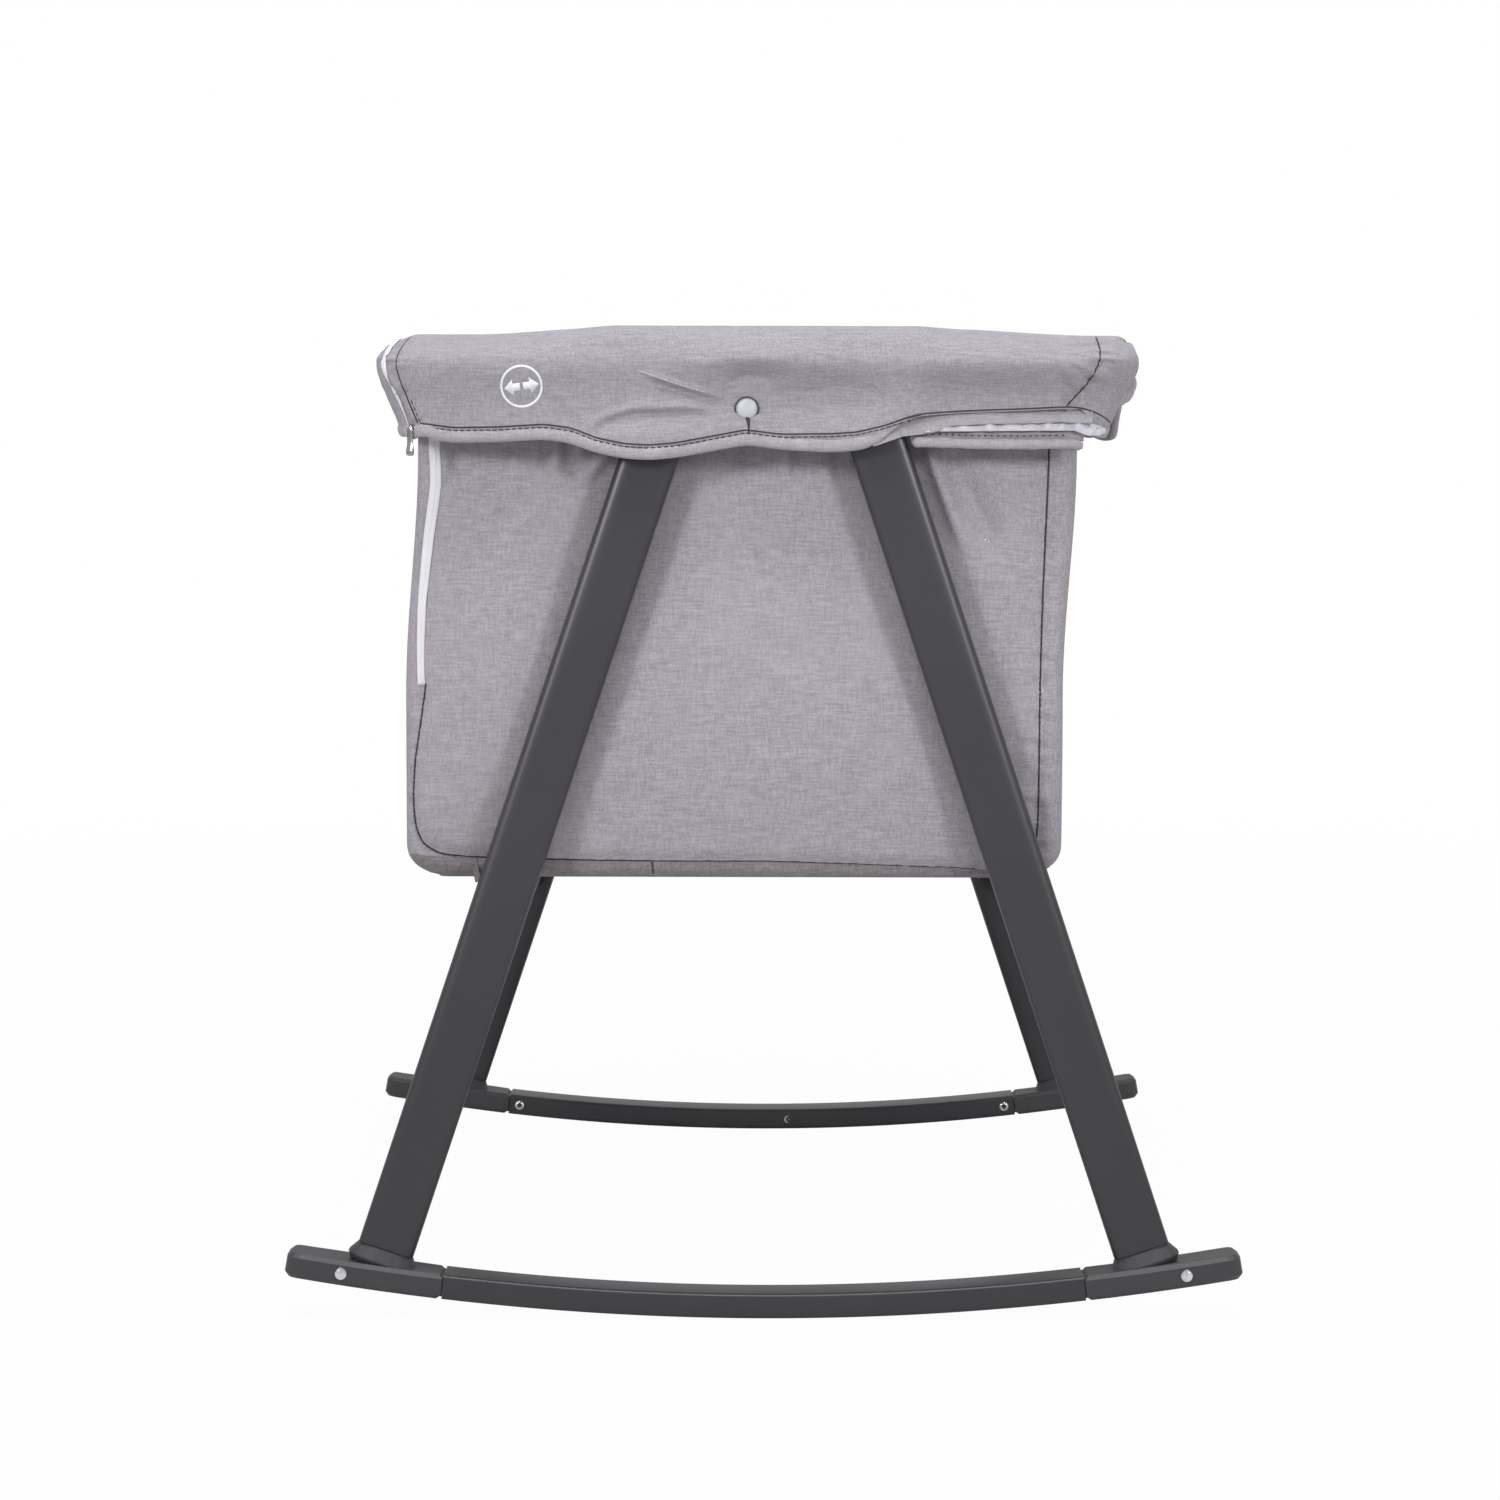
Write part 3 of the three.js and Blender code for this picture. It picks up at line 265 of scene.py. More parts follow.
def sharpen(made, degrees=35.0):
    """Keeps edges steeper than this angle crisp."""
    made.data.set_sharp_from_angle(angle=math.radians(degrees))
    return made


def ring_faces(rings, around, closed_ends=True, looped=False):
    """Quads between rings of points that each go once round, with a cap on each end."""
    faces = []
    for i in range(rings if looped else rings - 1):
        low, high = i * around, (i + 1) % rings * around
        for j in range(around):
            k = (j + 1) % around
            faces.append((low + j, low + k, high + k, high + j))
    if closed_ends and not looped:
        faces.append(tuple(range(around)))
        last = (rings - 1) * around
        faces.append(tuple(last + j for j in range(around)))
    return faces


def rounded_outline(half_width, half_height, radius, steps=6):
    """Corner points of a rounded rectangle, anticlockwise."""
    outline = []
    for quarter in range(4):
        turn = quarter * math.pi / 2
        a, b = (half_width, half_height) if quarter % 2 == 0 else (half_height, half_width)
        for step in range(steps + 1):
            angle = step / steps * math.pi / 2
            x = a - radius + radius * math.cos(angle)
            y = b - radius + radius * math.sin(angle)
            outline.append((x * math.cos(turn) - y * math.sin(turn), x * math.sin(turn) + y * math.cos(turn)))
    return outline


def on_rocker(along, height):
    """X and Z of a point along the floor curve, and height above it."""
    angle = along / ROCKER_RADIUS
    reach = ROCKER_RADIUS - height
    return reach * math.sin(angle), ROCKER_RADIUS - reach * math.cos(angle)


def lathe(profile, origin, direction, around=32):
    """Points and faces of a turned form. profile is (radius, height along direction) from the axis out."""
    axis = Vector(direction).normalized()
    side = axis.orthogonal().normalized()
    other = axis.cross(side)
    points = []
    for radius, height in profile:
        for j in range(around):
            angle = 2 * math.pi * j / around
            across = math.cos(angle) * side + math.sin(angle) * other
            points.append(Vector(origin) + height * axis + radius * across)
    return points, ring_faces(len(profile), around)


def together(parts):
    """Points and faces of several forms as one."""
    points, faces = [], []
    for more_points, more_faces in parts:
        start = len(points)
        points.extend(more_points)
        faces.extend(tuple(start + i for i in face) for face in more_faces)
    return points, faces


charcoal = powder_coat("charcoal_powder_coat", (0.036, 0.0335, 0.039, 1.0), (0.048, 0.045, 0.052, 1.0), 0.30)
polished = bright_metal("polished_steel", (0.84, 0.85, 0.86, 1.0), 0.07)

ROCKER_SECTION = rounded_outline(ROCKER_HEIGHT / 2, ROCKER_DEPTH / 2, ROCKER_EDGE, 7)
ROCKER_STATIONS = 121
RIVET_ALONG, PLUG_ALONG, STUD_SHIFT = 0.2235, 0.024, 0.0012
# Turned forms from the axis out, as (radius, height).
RIVET_HEAD = ((0.0004, -0.0006), (0.0013, -0.0004), (0.0017, 0.0004), (0.0021, 0.0011), (0.0030, 0.0012),
              (0.0039, 0.0008), (STEEL_RIVET, 0.0001), (STEEL_RIVET, -0.0006))
PLUG_RIM = ((0.0004, -0.0006), (0.0005, 0.0006), (0.0033, 0.0005), (0.0036, -0.0006))
PLUG_STUD = ((0.0004, -0.0006), (0.0005, 0.0011), (0.0026, 0.0009), (0.0031, 0.0003), (0.0031, -0.0006))
for end, s in ENDS.items():
    body = f"{end}_frame"
    points = []
    for i in range(ROCKER_STATIONS):
        share = 2 * i / (ROCKER_STATIONS - 1) - 1
        for up, across in ROCKER_SECTION:
            x, z = on_rocker(share * ROCKER_ARC, ROCKER_HEIGHT / 2 + up)
            points.append((x, s * FRAME_Y + across, z))
    faces = ring_faces(ROCKER_STATIONS, len(ROCKER_SECTION))
    tube = sharpen(build(f"{end}_rocker_bar", points, faces, charcoal, body, "frame_tube"), 40)
    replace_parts(tube, f"{end}_rocker_tube")
    face_y = s * (FRAME_Y - ROCKER_DEPTH / 2)
    rivets = []
    for form, along in ((RIVET_HEAD, -RIVET_ALONG), (RIVET_HEAD, RIVET_ALONG), (PLUG_RIM, s * PLUG_ALONG)):
        x, z = on_rocker(along, ROCKER_HEIGHT / 2)
        rivets.append(lathe(form, (x, face_y, z), (0, -s, 0)))
    stud = lathe(PLUG_STUD, (x + s * STUD_SHIFT, face_y, z), (0, -s, 0))
    build(f"{end}_tube_plug", *stud, charcoal, body, "frame_tube")
    sharpen(build(f"{end}_rocker_rivets", *together(rivets), polished, body, "polished_steel"), 50)


# ---------------------------------------------------------------- rocker feet
# Glass-filled nylon mouldings close the rocker's ends and carry the legs. Each holds a flip-down
# foot on a domed steel pin, which stops the rocking.


def moulded(name, colour, roughness, grain=520.0):
    """Moulded plastic with a fine spark-eroded grain."""
    g = Finish(name)
    pits, patch = g.noise(grain * 4), g.noise(25.0, 4.0)
    surface = {
        "Base Color": g.mix(patch * 0.6 + pits * 0.4, colour, shade(colour, 1.28)),
        "Roughness": patch * 0.12 + roughness,
        "Specular IOR Level": 0.45,
    }
    return g.surfaced(surface, pits, 0.22, 0.0003)


def finish_nodes(finish, *names):
    """Gives CAD nodes their real finish."""
    for name in names:
        for holder in nodes[name].material_slots:
            holder.material = finish


foot_nylon = moulded("foot_nylon", (0.052, 0.050, 0.055, 1.0), 0.40)
for end in ENDS:
    for side in SIDES:
        finish_nodes(foot_nylon, f"{end}_foot_{side}", f"{end}_flip_foot_{side}")
        finish_nodes(polished, f"{end}_flip_pin_{side}")


# ---------------------------------------------------------------- legs
# Flat-oval steel tubes with the rocker's powder coat, cut square at the lower end, where they
# stand on the foot's stub. A countersunk screw holds each one from the inner side.

LEG_LEAN = math.radians(18.4)
LEG_HALF_WIDTH, LEG_HALF_DEPTH = 0.0205, 0.011
LEG_SQUARENESS = 4.2
LEG_FOOT = (0.273, 0.0481)  # X and Z of the lower end's middle
LEG_LENGTH = 0.6744
LEG_POINTS = 96


def leg_outline(grow=0.0):
    """The flat oval, as offsets across the leg and along Y."""
    outline = []
    for j in range(LEG_POINTS):
        angle = 2 * math.pi * j / LEG_POINTS
        c, t = math.cos(angle), math.sin(angle)
        across = math.copysign(abs(c) ** (2 / LEG_SQUARENESS), c) * (LEG_HALF_WIDTH + grow)
        depth = math.copysign(abs(t) ** (2 / LEG_SQUARENESS), t) * (LEG_HALF_DEPTH + grow)
        outline.append((across, depth))
    return outline


SCREW_RISE = 0.034  # up the leg from its lower end
SCREW_HEAD = ((0.0005, -0.0010), (0.0011, -0.0009), (0.0013, 0.0001), (0.0022, 0.0004), (0.0028, 0.0002),
              (0.0030, -0.0004))
# From the lower end up: how far along the leg, and how much wider than the tube.
LEG_RINGS = ((0.0, -0.0018), (0.0, -0.0004), (0.0004, 0.0), (0.12, 0.0), (0.36, 0.0), (0.58, 0.0),
             (LEG_LENGTH - 0.0004, 0.0), (LEG_LENGTH, -0.0004), (LEG_LENGTH, -0.0018))
for end, s in ENDS.items():
    for side, k in SIDES.items():
        along = Vector((-k * math.sin(LEG_LEAN), 0, math.cos(LEG_LEAN)))
        across = Vector((math.cos(LEG_LEAN), 0, k * math.sin(LEG_LEAN)))
        foot_point = Vector((k * LEG_FOOT[0], s * FRAME_Y, LEG_FOOT[1]))
        points = []
        for rise, grow in LEG_RINGS:
            for a, d in leg_outline(grow):
                points.append(foot_point + rise * along + a * across + Vector((0, d, 0)))
        faces = ring_faces(len(LEG_RINGS), LEG_POINTS)
        tube = build(f"{end}_leg_tube_{side}", points, faces, charcoal, f"{end}_frame", "frame_tube")
        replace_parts(sharpen(tube, 40), f"{end}_leg_{side}")
        place = foot_point + SCREW_RISE * along - Vector((0, s * (LEG_HALF_DEPTH - 0.0001), 0))
        screw = lathe(SCREW_HEAD, place, (0, -s, 0))
        sharpen(build(f"{end}_leg_screw_{side}", *screw, polished, f"{end}_frame", "polished_steel"), 50)


# ---------------------------------------------------------------- folding frame
# Aluminium rails run round the top of the tub and hinge at their middles in plastic latch
# blocks. Painted flat bars fold low between the two A-frames.

bracket_nylon = moulded("bracket_nylon", (0.030, 0.029, 0.032, 1.0), 0.45)
raw_aluminium = bright_metal("drawn_aluminium", (0.60, 0.61, 0.62, 1.0), 0.30)
bar_paint = powder_coat("bar_paint", (0.045, 0.043, 0.047, 1.0), (0.060, 0.057, 0.062, 1.0), 0.34)
button_nylon = moulded("button_nylon", (0.20, 0.20, 0.21, 1.0), 0.40)
RAIL_Z, END_RAIL_Y, SIDE_RAIL_X, PIVOT_Y = 0.697, 0.394, 0.250, 0.375
SOCKET_RADIUS, SOCKET_START = 0.0085, 0.2284
EAR_RADIUS, EAR_OFFSET, EAR_POINTS = 0.0062, 0.00655, 33  # an ear stands on each side of the side rail
SOCKET = ((0.0081, 0.0001), (0.0082, -0.0001), (0.0084, 0.0005), (SOCKET_RADIUS, 0.0030),
          (SOCKET_RADIUS, 0.0210), (0.0081, 0.0258), (0.0070, 0.0287), (0.0050, 0.0300), (0.0, 0.0303))


def ear(x, half, s):
    """A flat ear with softened edges, from the rail's socket to the side rail's pivot."""
    rings = []
    for place, shrink in ((-half, 0.0016), (0.0016 - half, 0.0), (half - 0.0016, 0.0), (half, 0.0016)):
        radius = EAR_RADIUS - shrink
        for step in range(EAR_POINTS):
            angle = 2 * math.pi * step / EAR_POINTS
            middle = END_RAIL_Y - 0.002 if math.sin(angle) > 0 else PIVOT_Y
            y, z = middle + radius * math.sin(angle), RAIL_Z + radius * math.cos(angle)
            rings.append((x + place, s * y, z))
    return rings, ring_faces(4, EAR_POINTS)


for end, s in ENDS.items():
    body = f"{end}_frame"
    finish_nodes(bracket_nylon, f"{end}_top_bracket")
    finish_nodes(raw_aluminium, f"{end}_end_rail")
    for side, k in SIDES.items():
        parts = [lathe(SOCKET, (k * SOCKET_START, s * END_RAIL_Y, RAIL_Z), (k, 0, 0), 40)]
        parts += [ear(k * SIDE_RAIL_X + m * EAR_OFFSET, 0.0021, s) for m in (-1, 1)]
        elbow = build(f"{end}_rail_corner_{side}", *together(parts), bracket_nylon, body, "hidden_plastic")
        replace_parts(sharpen(elbow, 40), f"{end}_corner_{side}")
        finish_nodes(bracket_nylon, f"{end}_stay_boss_{side}")
        finish_nodes(raw_aluminium, f"{end}_side_rail_{side}")
        finish_nodes(bar_paint, f"{end}_stay_{side}")
for side in SIDES:
    finish_nodes(bracket_nylon, f"latch_block_{side}")
    finish_nodes(button_nylon, f"latch_button_{side}")
    finish_nodes(polished, f"knuckle_pin_{side}")


# ---------------------------------------------------------------- tub walls
# Melange polyester, cut as an end wall that wraps both corners and a long wall on each side. The
# cloth hangs from the rails, leans a little as it is not pulled square, and turns under the floor.

WALL_THICKNESS = 0.0028
WALL_TOP = {"end": 0.6852, "long": 0.6970}
WALL_TURN = 0.3335  # where the wall starts to turn under the floor
WALL_TURN_RADIUS, WALL_TURN_INSET = 0.0175, 0.01085  # how far down and how far in the turn goes
WALL_SPLIT = 0.3795  # |Y| where an end wall meets a long wall
CORNER_RADIUS = 0.012
FACE_COLUMNS, CORNER_COLUMNS, LONG_COLUMNS = 176, 9, 190
WALL_ROWS = {"end": 118, "long": 92}


def smooth(t):
    t = np.clip(t, 0.0, 1.0)
    return t * t * (3 - 2 * t)


def bell(t, middle, width):
    return np.exp(-(((t - middle) / width) ** 2))


def lean(z):
    """How far the hanging cloth has shifted along X at a height."""
    low = -0.0222 + 0.0090 * smooth((z - 0.45) / 0.17)
    return low * (1 - smooth((z - 0.642) / 0.042))


def half_width(z):
    """Half the tub's width at a height; the lower corners are rounded off."""
    drop = np.clip(0.339 - z, 0.0, 0.0219)
    corner = 0.022 - np.sqrt(0.022**2 - drop**2)
    return 0.2374 + 0.0024 * smooth((z - 0.64) / 0.045) - corner


def end_face(z):
    """|Y| of an end wall's outer face at a height, before the cloth's own relief. It tucks in low."""
    return 0.4033 - 0.007 * (z - 0.318) / 0.367 - 0.0065 * np.clip((0.44 - z) / 0.12, 0, 1) ** 2


def nearest(x, z, path):
    """Signed distance of each point from a path of (x, z) corners, and how far along it, 0 to 1."""
    path = np.array(path, float)
    lengths = np.hypot(*np.diff(path, axis=0).T)
    before = np.concatenate([[0.0], np.cumsum(lengths)])
    best = np.full(np.shape(x), 1e9)
    signed, along = np.zeros(np.shape(x)), np.zeros(np.shape(x))
    for i, length in enumerate(lengths):
        (x0, z0), (x1, z1) = path[i], path[i + 1]
        dx, dz = (x1 - x0) / length, (z1 - z0) / length
        t = np.clip((x - x0) * dx + (z - z0) * dz, 0, length)
        gap = np.hypot(x - x0 - t * dx, z - z0 - t * dz)
        closer = gap < best
        best = np.where(closer, gap, best)
        side = np.sign((x - x0) * dz - (z - z0) * dx)
        signed = np.where(closer, gap * np.where(side == 0, 1, side), signed)
        along = np.where(closer, (before[i] + t) / before[-1], along)
    return signed, along


def fold(x, z, path, width, height, fade=0.25, sharp=False):
    """A soft ridge (or valley, below 0) along a path, fading out at both ends. A sharp one is a
    ridge on the path's right and a valley on its left."""
    gap, along = nearest(x, z, path)
    ends = smooth(along / fade) * smooth((1 - along) / fade)
    if sharp:
        height = height * 1.65 * gap / width
    return height * np.exp(-((gap / width) ** 2)) * ends


def drawn_in(x, z, seam, depth, width, *gathers):
    """The valley along a seam and its puckers."""
    gap, _ = nearest(x, z, seam)
    return puckers(x, z, seam, *gathers) - depth * np.exp(-((gap / width) ** 2))


def puckers(x, z, path, reach, pitch, height, seed):
    """Small gathers where a row of stitches draws the cloth in."""
    gap, along = nearest(x, z, path)
    length = np.hypot(*np.diff(np.array(path), axis=0).T).sum()
    draw = np.random.RandomState(seed)
    wave = np.zeros(np.shape(x))
    for stretch in (0.7, 1.0, 1.45, 2.2):
        phase, slant = draw.uniform(0, 2 * math.pi), draw.uniform(-0.5, 0.5)
        wave += np.sin(2 * math.pi * (along * length + slant * gap) / (pitch * stretch) + phase)
    return height * wave / 2 * np.exp(-np.abs(gap) / reach)


def waves(a, b, pitch, height, seed):
    """Gentle irregular relief of about this pitch."""
    draw = np.random.RandomState(seed)
    total = np.zeros(np.broadcast(a, b).shape)
    for _ in range(9):
        angle, phase = draw.uniform(0, math.pi), draw.uniform(0, 2 * math.pi)
        stretch = draw.uniform(0.6, 1.7)
        total += np.sin(2 * math.pi * (a * math.cos(angle) + b * math.sin(angle)) / (pitch * stretch) + phase)
    return height * total / 3


def normals_of(grid):
    """Unit normals of a grid of points, from its two directions."""
    down = np.gradient(grid, axis=0)
    over = np.gradient(grid, axis=1)
    normal = np.cross(down, over)
    return normal / np.maximum(np.linalg.norm(normal, axis=2, keepdims=True), 1e-12)


def shell(name, outer, thickness, finish, body=None, slot=None):
    """A closed sheet: a grid of outer points, thickened against its normals, row by row."""
    rows, columns = outer.shape[:2]
    inner = outer - normals_of(outer) * np.reshape(thickness, (-1, 1, 1))
    points = np.concatenate([outer.reshape(-1, 3), inner.reshape(-1, 3)])
    half = rows * columns
    faces = []
    for i in range(rows - 1):
        for j in range(columns - 1):
            a, b = i * columns + j, i * columns + j + 1
            c, d = b + columns, a + columns
            faces.append((a, b, c, d))
            faces.append((half + d, half + c, half + b, half + a))
    rim = [(0, j) for j in range(columns)] + [(i, columns - 1) for i in range(1, rows)]
    rim += [(rows - 1, j) for j in range(columns - 2, -1, -1)] + [(i, 0) for i in range(rows - 2, 0, -1)]
    rim = [i * columns + j for i, j in rim]
    for a, b in zip(rim, rim[1:] + rim[:1]):
        faces.append((b, a, half + a, half + b))
    made = build(name, points.tolist(), faces, finish, body, slot)
    return sharpen(made, 60)


def melange(name, dark, light, warm=0.5, weave=0.9):
    """Two-tone woven polyester. Slubs run along both threads, so it never looks printed."""
    g = Finish(name)
    along, across = 72.0, 780.0
    weft = g.noise((along, across, across), 2.5, 0.62)
    warp = g.noise((across, across, along * 1.4), 2.5, 0.62)
    depth = g.noise((across, along, across), 2.5, 0.62)
    grain, cloud = g.noise(1100.0, 1.0), g.noise(14.0, 3.0)
    slub = (weft + warp * 0.8 + depth * 0.6) / 2.4
    thread = slub.between(0.38, 0.62) * 0.74 + grain.between(0.32, 0.68) * 0.26
    tint = tuple(c * t for c, t in zip(light, (1.035, 1.0, 0.965, 1.0)))
    surface = {
        "Base Color": g.mix(cloud.between(0.42, 0.66) * 0.35 * warm, g.mix(thread, dark, light), tint),
        "Roughness": 0.86,
        "Specular IOR Level": 0.25,
        "Sheen Weight": 0.12,
        "Sheen Roughness": 0.45,
    }
    return g.surfaced(surface, thread * weave + grain * 0.3, 0.35, 0.0005)


# A darker, browner melange for the bottom binding strip and its tab: partly the binding's own cloth, partly
# painted shade on the strip that faces down under the tub.
edge_cloth_and_shade = melange("edge_melange_and_shade", (0.160, 0.142, 0.152, 1.0), (0.285, 0.258, 0.276, 1.0))
wall_cloth = melange("wall_melange", (0.262, 0.244, 0.277, 1.0), (0.430, 0.405, 0.446, 1.0))

# The near end's seams and folds, as (x, z) on its face; the far end has them turned half round.
LEFT_SEAM = ((-0.2445, 0.456), (-0.2480, 0.430), (-0.2525, 0.400), (-0.2540, 0.374), (-0.2525, 0.352),
             (-0.2470, 0.339), (-0.2350, 0.3322), (-0.2220, 0.3308))
BOTTOM_SEAM = ((-0.2220, 0.3308), (-0.207, 0.3300), (-0.157, 0.3285), (-0.080, 0.3275), (0.0, 0.3275),
               (0.060, 0.3255), (0.120, 0.3235), (0.165, 0.3215), (0.195, 0.3235))
RIGHT_SEAM = ((0.204, 0.645), (0.2025, 0.594), (0.201, 0.558), (0.199, 0.499), (0.1978, 0.436),
              (0.1976, 0.360), (0.195, 0.3235))
BINDING_JOINT = ((-0.0810, 0.3268), (-0.0806, 0.3225), (-0.0808, 0.3190))
BINDING_LOW, TAB_TOP = 0.3162, (-0.2108, 0.3292)
ZIP_LINE = ((-0.2385, 0.645), (-0.2365, 0.600), (-0.2420, 0.562), (-0.2470, 0.515), (-0.2482, 0.480),
            (-0.2478, 0.455))
# Folds below the collar: path, width, height and fade.
END_FOLDS = (
    (((0.112, 0.640), (0.121, 0.612), (0.146, 0.548)), 0.0050, 0.0052, 0.3),
    (((0.128, 0.640), (0.139, 0.606), (0.171, 0.545)), 0.0070, -0.0052, 0.3),
    (((0.150, 0.630), (0.163, 0.600), (0.183, 0.562)), 0.0065, 0.0034, 0.35),
    (((-0.103, 0.650), (-0.115, 0.621), (-0.136, 0.596)), 0.0048, 0.0058, 0.35),
    (((-0.117, 0.650), (-0.130, 0.622), (-0.143, 0.604)), 0.0046, -0.0050, 0.35),
)
# Short gathers below the collar: where each starts, and its height.
END_GATHERS = ((-0.160, -0.0034), (-0.1525, 0.0034), (-0.144, -0.0032), (-0.134, 0.0020), (-0.020, -0.0022),
               (0.012, 0.0028), (0.020, -0.0030), (0.048, -0.0024), (0.060, 0.0022))
# Seams: how deep they draw the cloth in, and the reach, pitch, height and seed of their puckers.
END_SEAMS = (
    (LEFT_SEAM, 0.0022, 0.008, 0.013, 0.0009, 1),
    (BOTTOM_SEAM, 0.0024, 0.006, 0.015, 0.0010, 2),
    (RIGHT_SEAM, 0.0024, 0.010, 0.015, 0.0010, 3),
)


def end_relief(x, z):
    """The end wall's relief outwards: soft bulges, drag lines from the collar, drawn-in seams."""
    relief = 0.0030 * (1 - (x / 0.25) ** 2) * smooth((z - 0.32) / 0.08) * smooth((0.69 - z) / 0.1)
    relief = relief + waves(x, z * 0.7, 0.16, 0.0011, 4) + waves(x * 1.2, z, 0.05, 0.00028, 9)
    for k in (-1, 1):
        beside = x - k * (0.273 - (z - 0.0481) * math.tan(LEG_LEAN))
        relief = relief - (0.0022 + np.maximum(relief, 0)) * np.exp(-((beside / 0.034) ** 2))
    for path, width, height, fade in END_FOLDS:
        relief = relief + fold(x, z, path, width, height, fade)
    for place, height in END_GATHERS:
        path = ((place, 0.655), (place + 0.003, 0.630), (place + 0.001, 0.603))
        relief = relief + fold(x, z, path, 0.0038, height, 0.4)
    high = smooth((z - 0.47) / 0.1)
    relief = relief + fold(x, z, ((-0.215, 0.600), (-0.150, 0.560), (-0.120, 0.510)), 0.020, -0.0016) * high
    relief = relief + fold(x, z, ((-0.225, 0.520), (-0.180, 0.500), (-0.140, 0.430)), 0.022, 0.0015)
    for seam, sink, *gathers in END_SEAMS:
        relief = relief + drawn_in(x, z, seam, sink, 0.0045, *gathers)
    return relief


def wall_heights(kind):
    """Z and inset of each row of a wall, from the top down, round the turn and under the floor."""
    flat = np.linspace(WALL_TOP[kind], WALL_TURN, WALL_ROWS[kind])
    turn = np.linspace(0, math.pi / 2, 10)[1:]
    heights = np.concatenate([flat, WALL_TURN - WALL_TURN_RADIUS * np.sin(turn)])
    inset = np.concatenate([0 * flat, WALL_TURN_INSET * (1 - np.cos(turn))])
    return heights, inset


def end_wall_grid(s):
    """Outer points of an end wall: one side return, a corner, the face, and the same again."""
    heights, inset = wall_heights("end")
    spots = [("side", 0.0), ("side", 0.5)]
    spots += [("corner", t / CORNER_COLUMNS) for t in range(CORNER_COLUMNS)]
    face = [("face", 0, 2 * t / FACE_COLUMNS - 1) for t in range(FACE_COLUMNS + 1)]
    left, right = ([(kind, k, t) for kind, t in spots] for k in (-1, 1))
    width = half_width(heights) - inset * 0.4
    front = end_face(heights) - inset
    radius = np.minimum(CORNER_RADIUS, front - WALL_SPLIT - 0.0004)
    points = []
    for kind, k, t in left + face + right[::-1]:
        y = front
        if kind == "side":
            x = k * width
            y = WALL_SPLIT + t * (front - radius - WALL_SPLIT)
        elif kind == "corner":
            angle = t * math.pi / 2
            x = k * (width - radius * (1 - math.cos(angle)))
            y = front - radius * (1 - math.sin(angle))
        else:
            x = t * (width - radius)
        points.append(np.stack([x, y, heights], axis=1))
    x, y, z = np.stack(points, axis=1).transpose(2, 0, 1)
    facing = smooth((y - (end_face(z) - 0.02)) / 0.012)
    y = y + facing * end_relief(x + lean(z), z) * smooth((z - 0.3155) / 0.006)
    x = x + lean(z) if s < 0 else x - lean(z)
    return np.stack([-s * x, s * y, z], axis=2)


def resampled(path, step, rounding=20):
    """A path of corner points as evenly spaced points, its corners rounded off."""
    path = np.array(path, float)
    before = np.concatenate([[0.0], np.cumsum(np.linalg.norm(np.diff(path, axis=0), axis=1))])
    count = max(int(before[-1] / step), 2) + 1
    line = np.stack([np.interp(np.linspace(0, before[-1], count), before, c) for c in path.T], axis=1)
    for _ in range(rounding):
        line[1:-1] = (line[:-2] + 2 * line[1:-1] + line[2:]) / 4
    return line


def tree_of(made):
    """A search tree of an object's surface."""
    mesh = made.data
    return BVHTree.FromPolygons([v.co for v in mesh.vertices], [p.vertices for p in mesh.polygons])


def cast(tree, starts, way):
    """Points and normals where lines of sight meet a surface. Those that miss it are left out."""
    points, normals = [], []
    for start in starts:
        hit, normal, _, _ = tree.ray_cast(Vector(start), Vector(way))
        if hit is not None:
            points.append(hit)
            normals.append(normal if normal.dot(Vector(way)) < 0 else -normal)
    return np.array(points), np.array(normals)


def draped(tree, line, s):
    """A line of (x, z) laid on the surface at end s, with its normals."""
    return cast(tree, [(x, s, z) for x, z in line], (0, -s, 0))


def swept(points, normals, outline, sizes=None, lift=0.0):
    """A closed form along a path. outline is (across, up from the surface); sizes scale it."""
    tangents = np.gradient(points, axis=0)
    tangents /= np.linalg.norm(tangents, axis=1, keepdims=True)
    across = np.cross(tangents, normals)
    across /= np.linalg.norm(across, axis=1, keepdims=True)
    up = np.cross(across, tangents)
    sizes = np.ones(len(points)) if sizes is None else np.asarray(sizes)
    made = []
    for i in range(len(points)):
        base = points[i] + lift * up[i]
        made.extend(base + sizes[i] * (a * across[i] + b * up[i]) for a, b in outline)
    return made, ring_faces(len(points), len(outline))


def round_outline(half_across, half_up):
    """The section of a thread, or of a dark line painted as shade along a seam."""
    turns = [2 * math.pi * i / 6 for i in range(6)]
    return [(half_across * math.cos(turn), half_up * math.sin(turn)) for turn in turns]


def stitches(points, normals, pitch, length, thread, lift=0.0002):
    """A row of stitches: short threads that dip into the cloth at both ends."""
    before = np.concatenate([[0.0], np.cumsum(np.linalg.norm(np.diff(points, axis=0), axis=1))])
    outline = round_outline(thread, thread * 0.8)
    made = []
    for start in np.arange(0.3 * pitch, before[-1] - length, pitch):
        places = start + length * np.array([0.0, 0.15, 0.5, 0.85, 1.0])
        line = np.stack([np.interp(places, before, c) for c in points.T], axis=1)
        way = np.stack([np.interp(places, before, c) for c in normals.T], axis=1)
        rise = thread * np.array([-1.2, 0.1, 0.5, 0.1, -1.2])[:, None]
        made.append(swept(line + rise * way, way, outline, (0.4, 0.9, 1.0, 0.9, 0.4), lift))
    return together(made)


def trim(name, colour, roughness):
    """Sewing thread, piping or tape: plain yarn with a fine rib."""
    g = Finish(name)
    fibre, patch = g.noise(1800.0), g.noise(70.0)
    surface = {
        "Base Color": g.mix(fibre * 0.7 + patch * 0.3, shade(colour, 0.82), colour),
        "Roughness": patch * 0.1 + roughness,
        "Specular IOR Level": 0.3,
        "Sheen Weight": 0.1,
    }
    return g.surfaced(surface, fibre, 0.3, 0.0003)
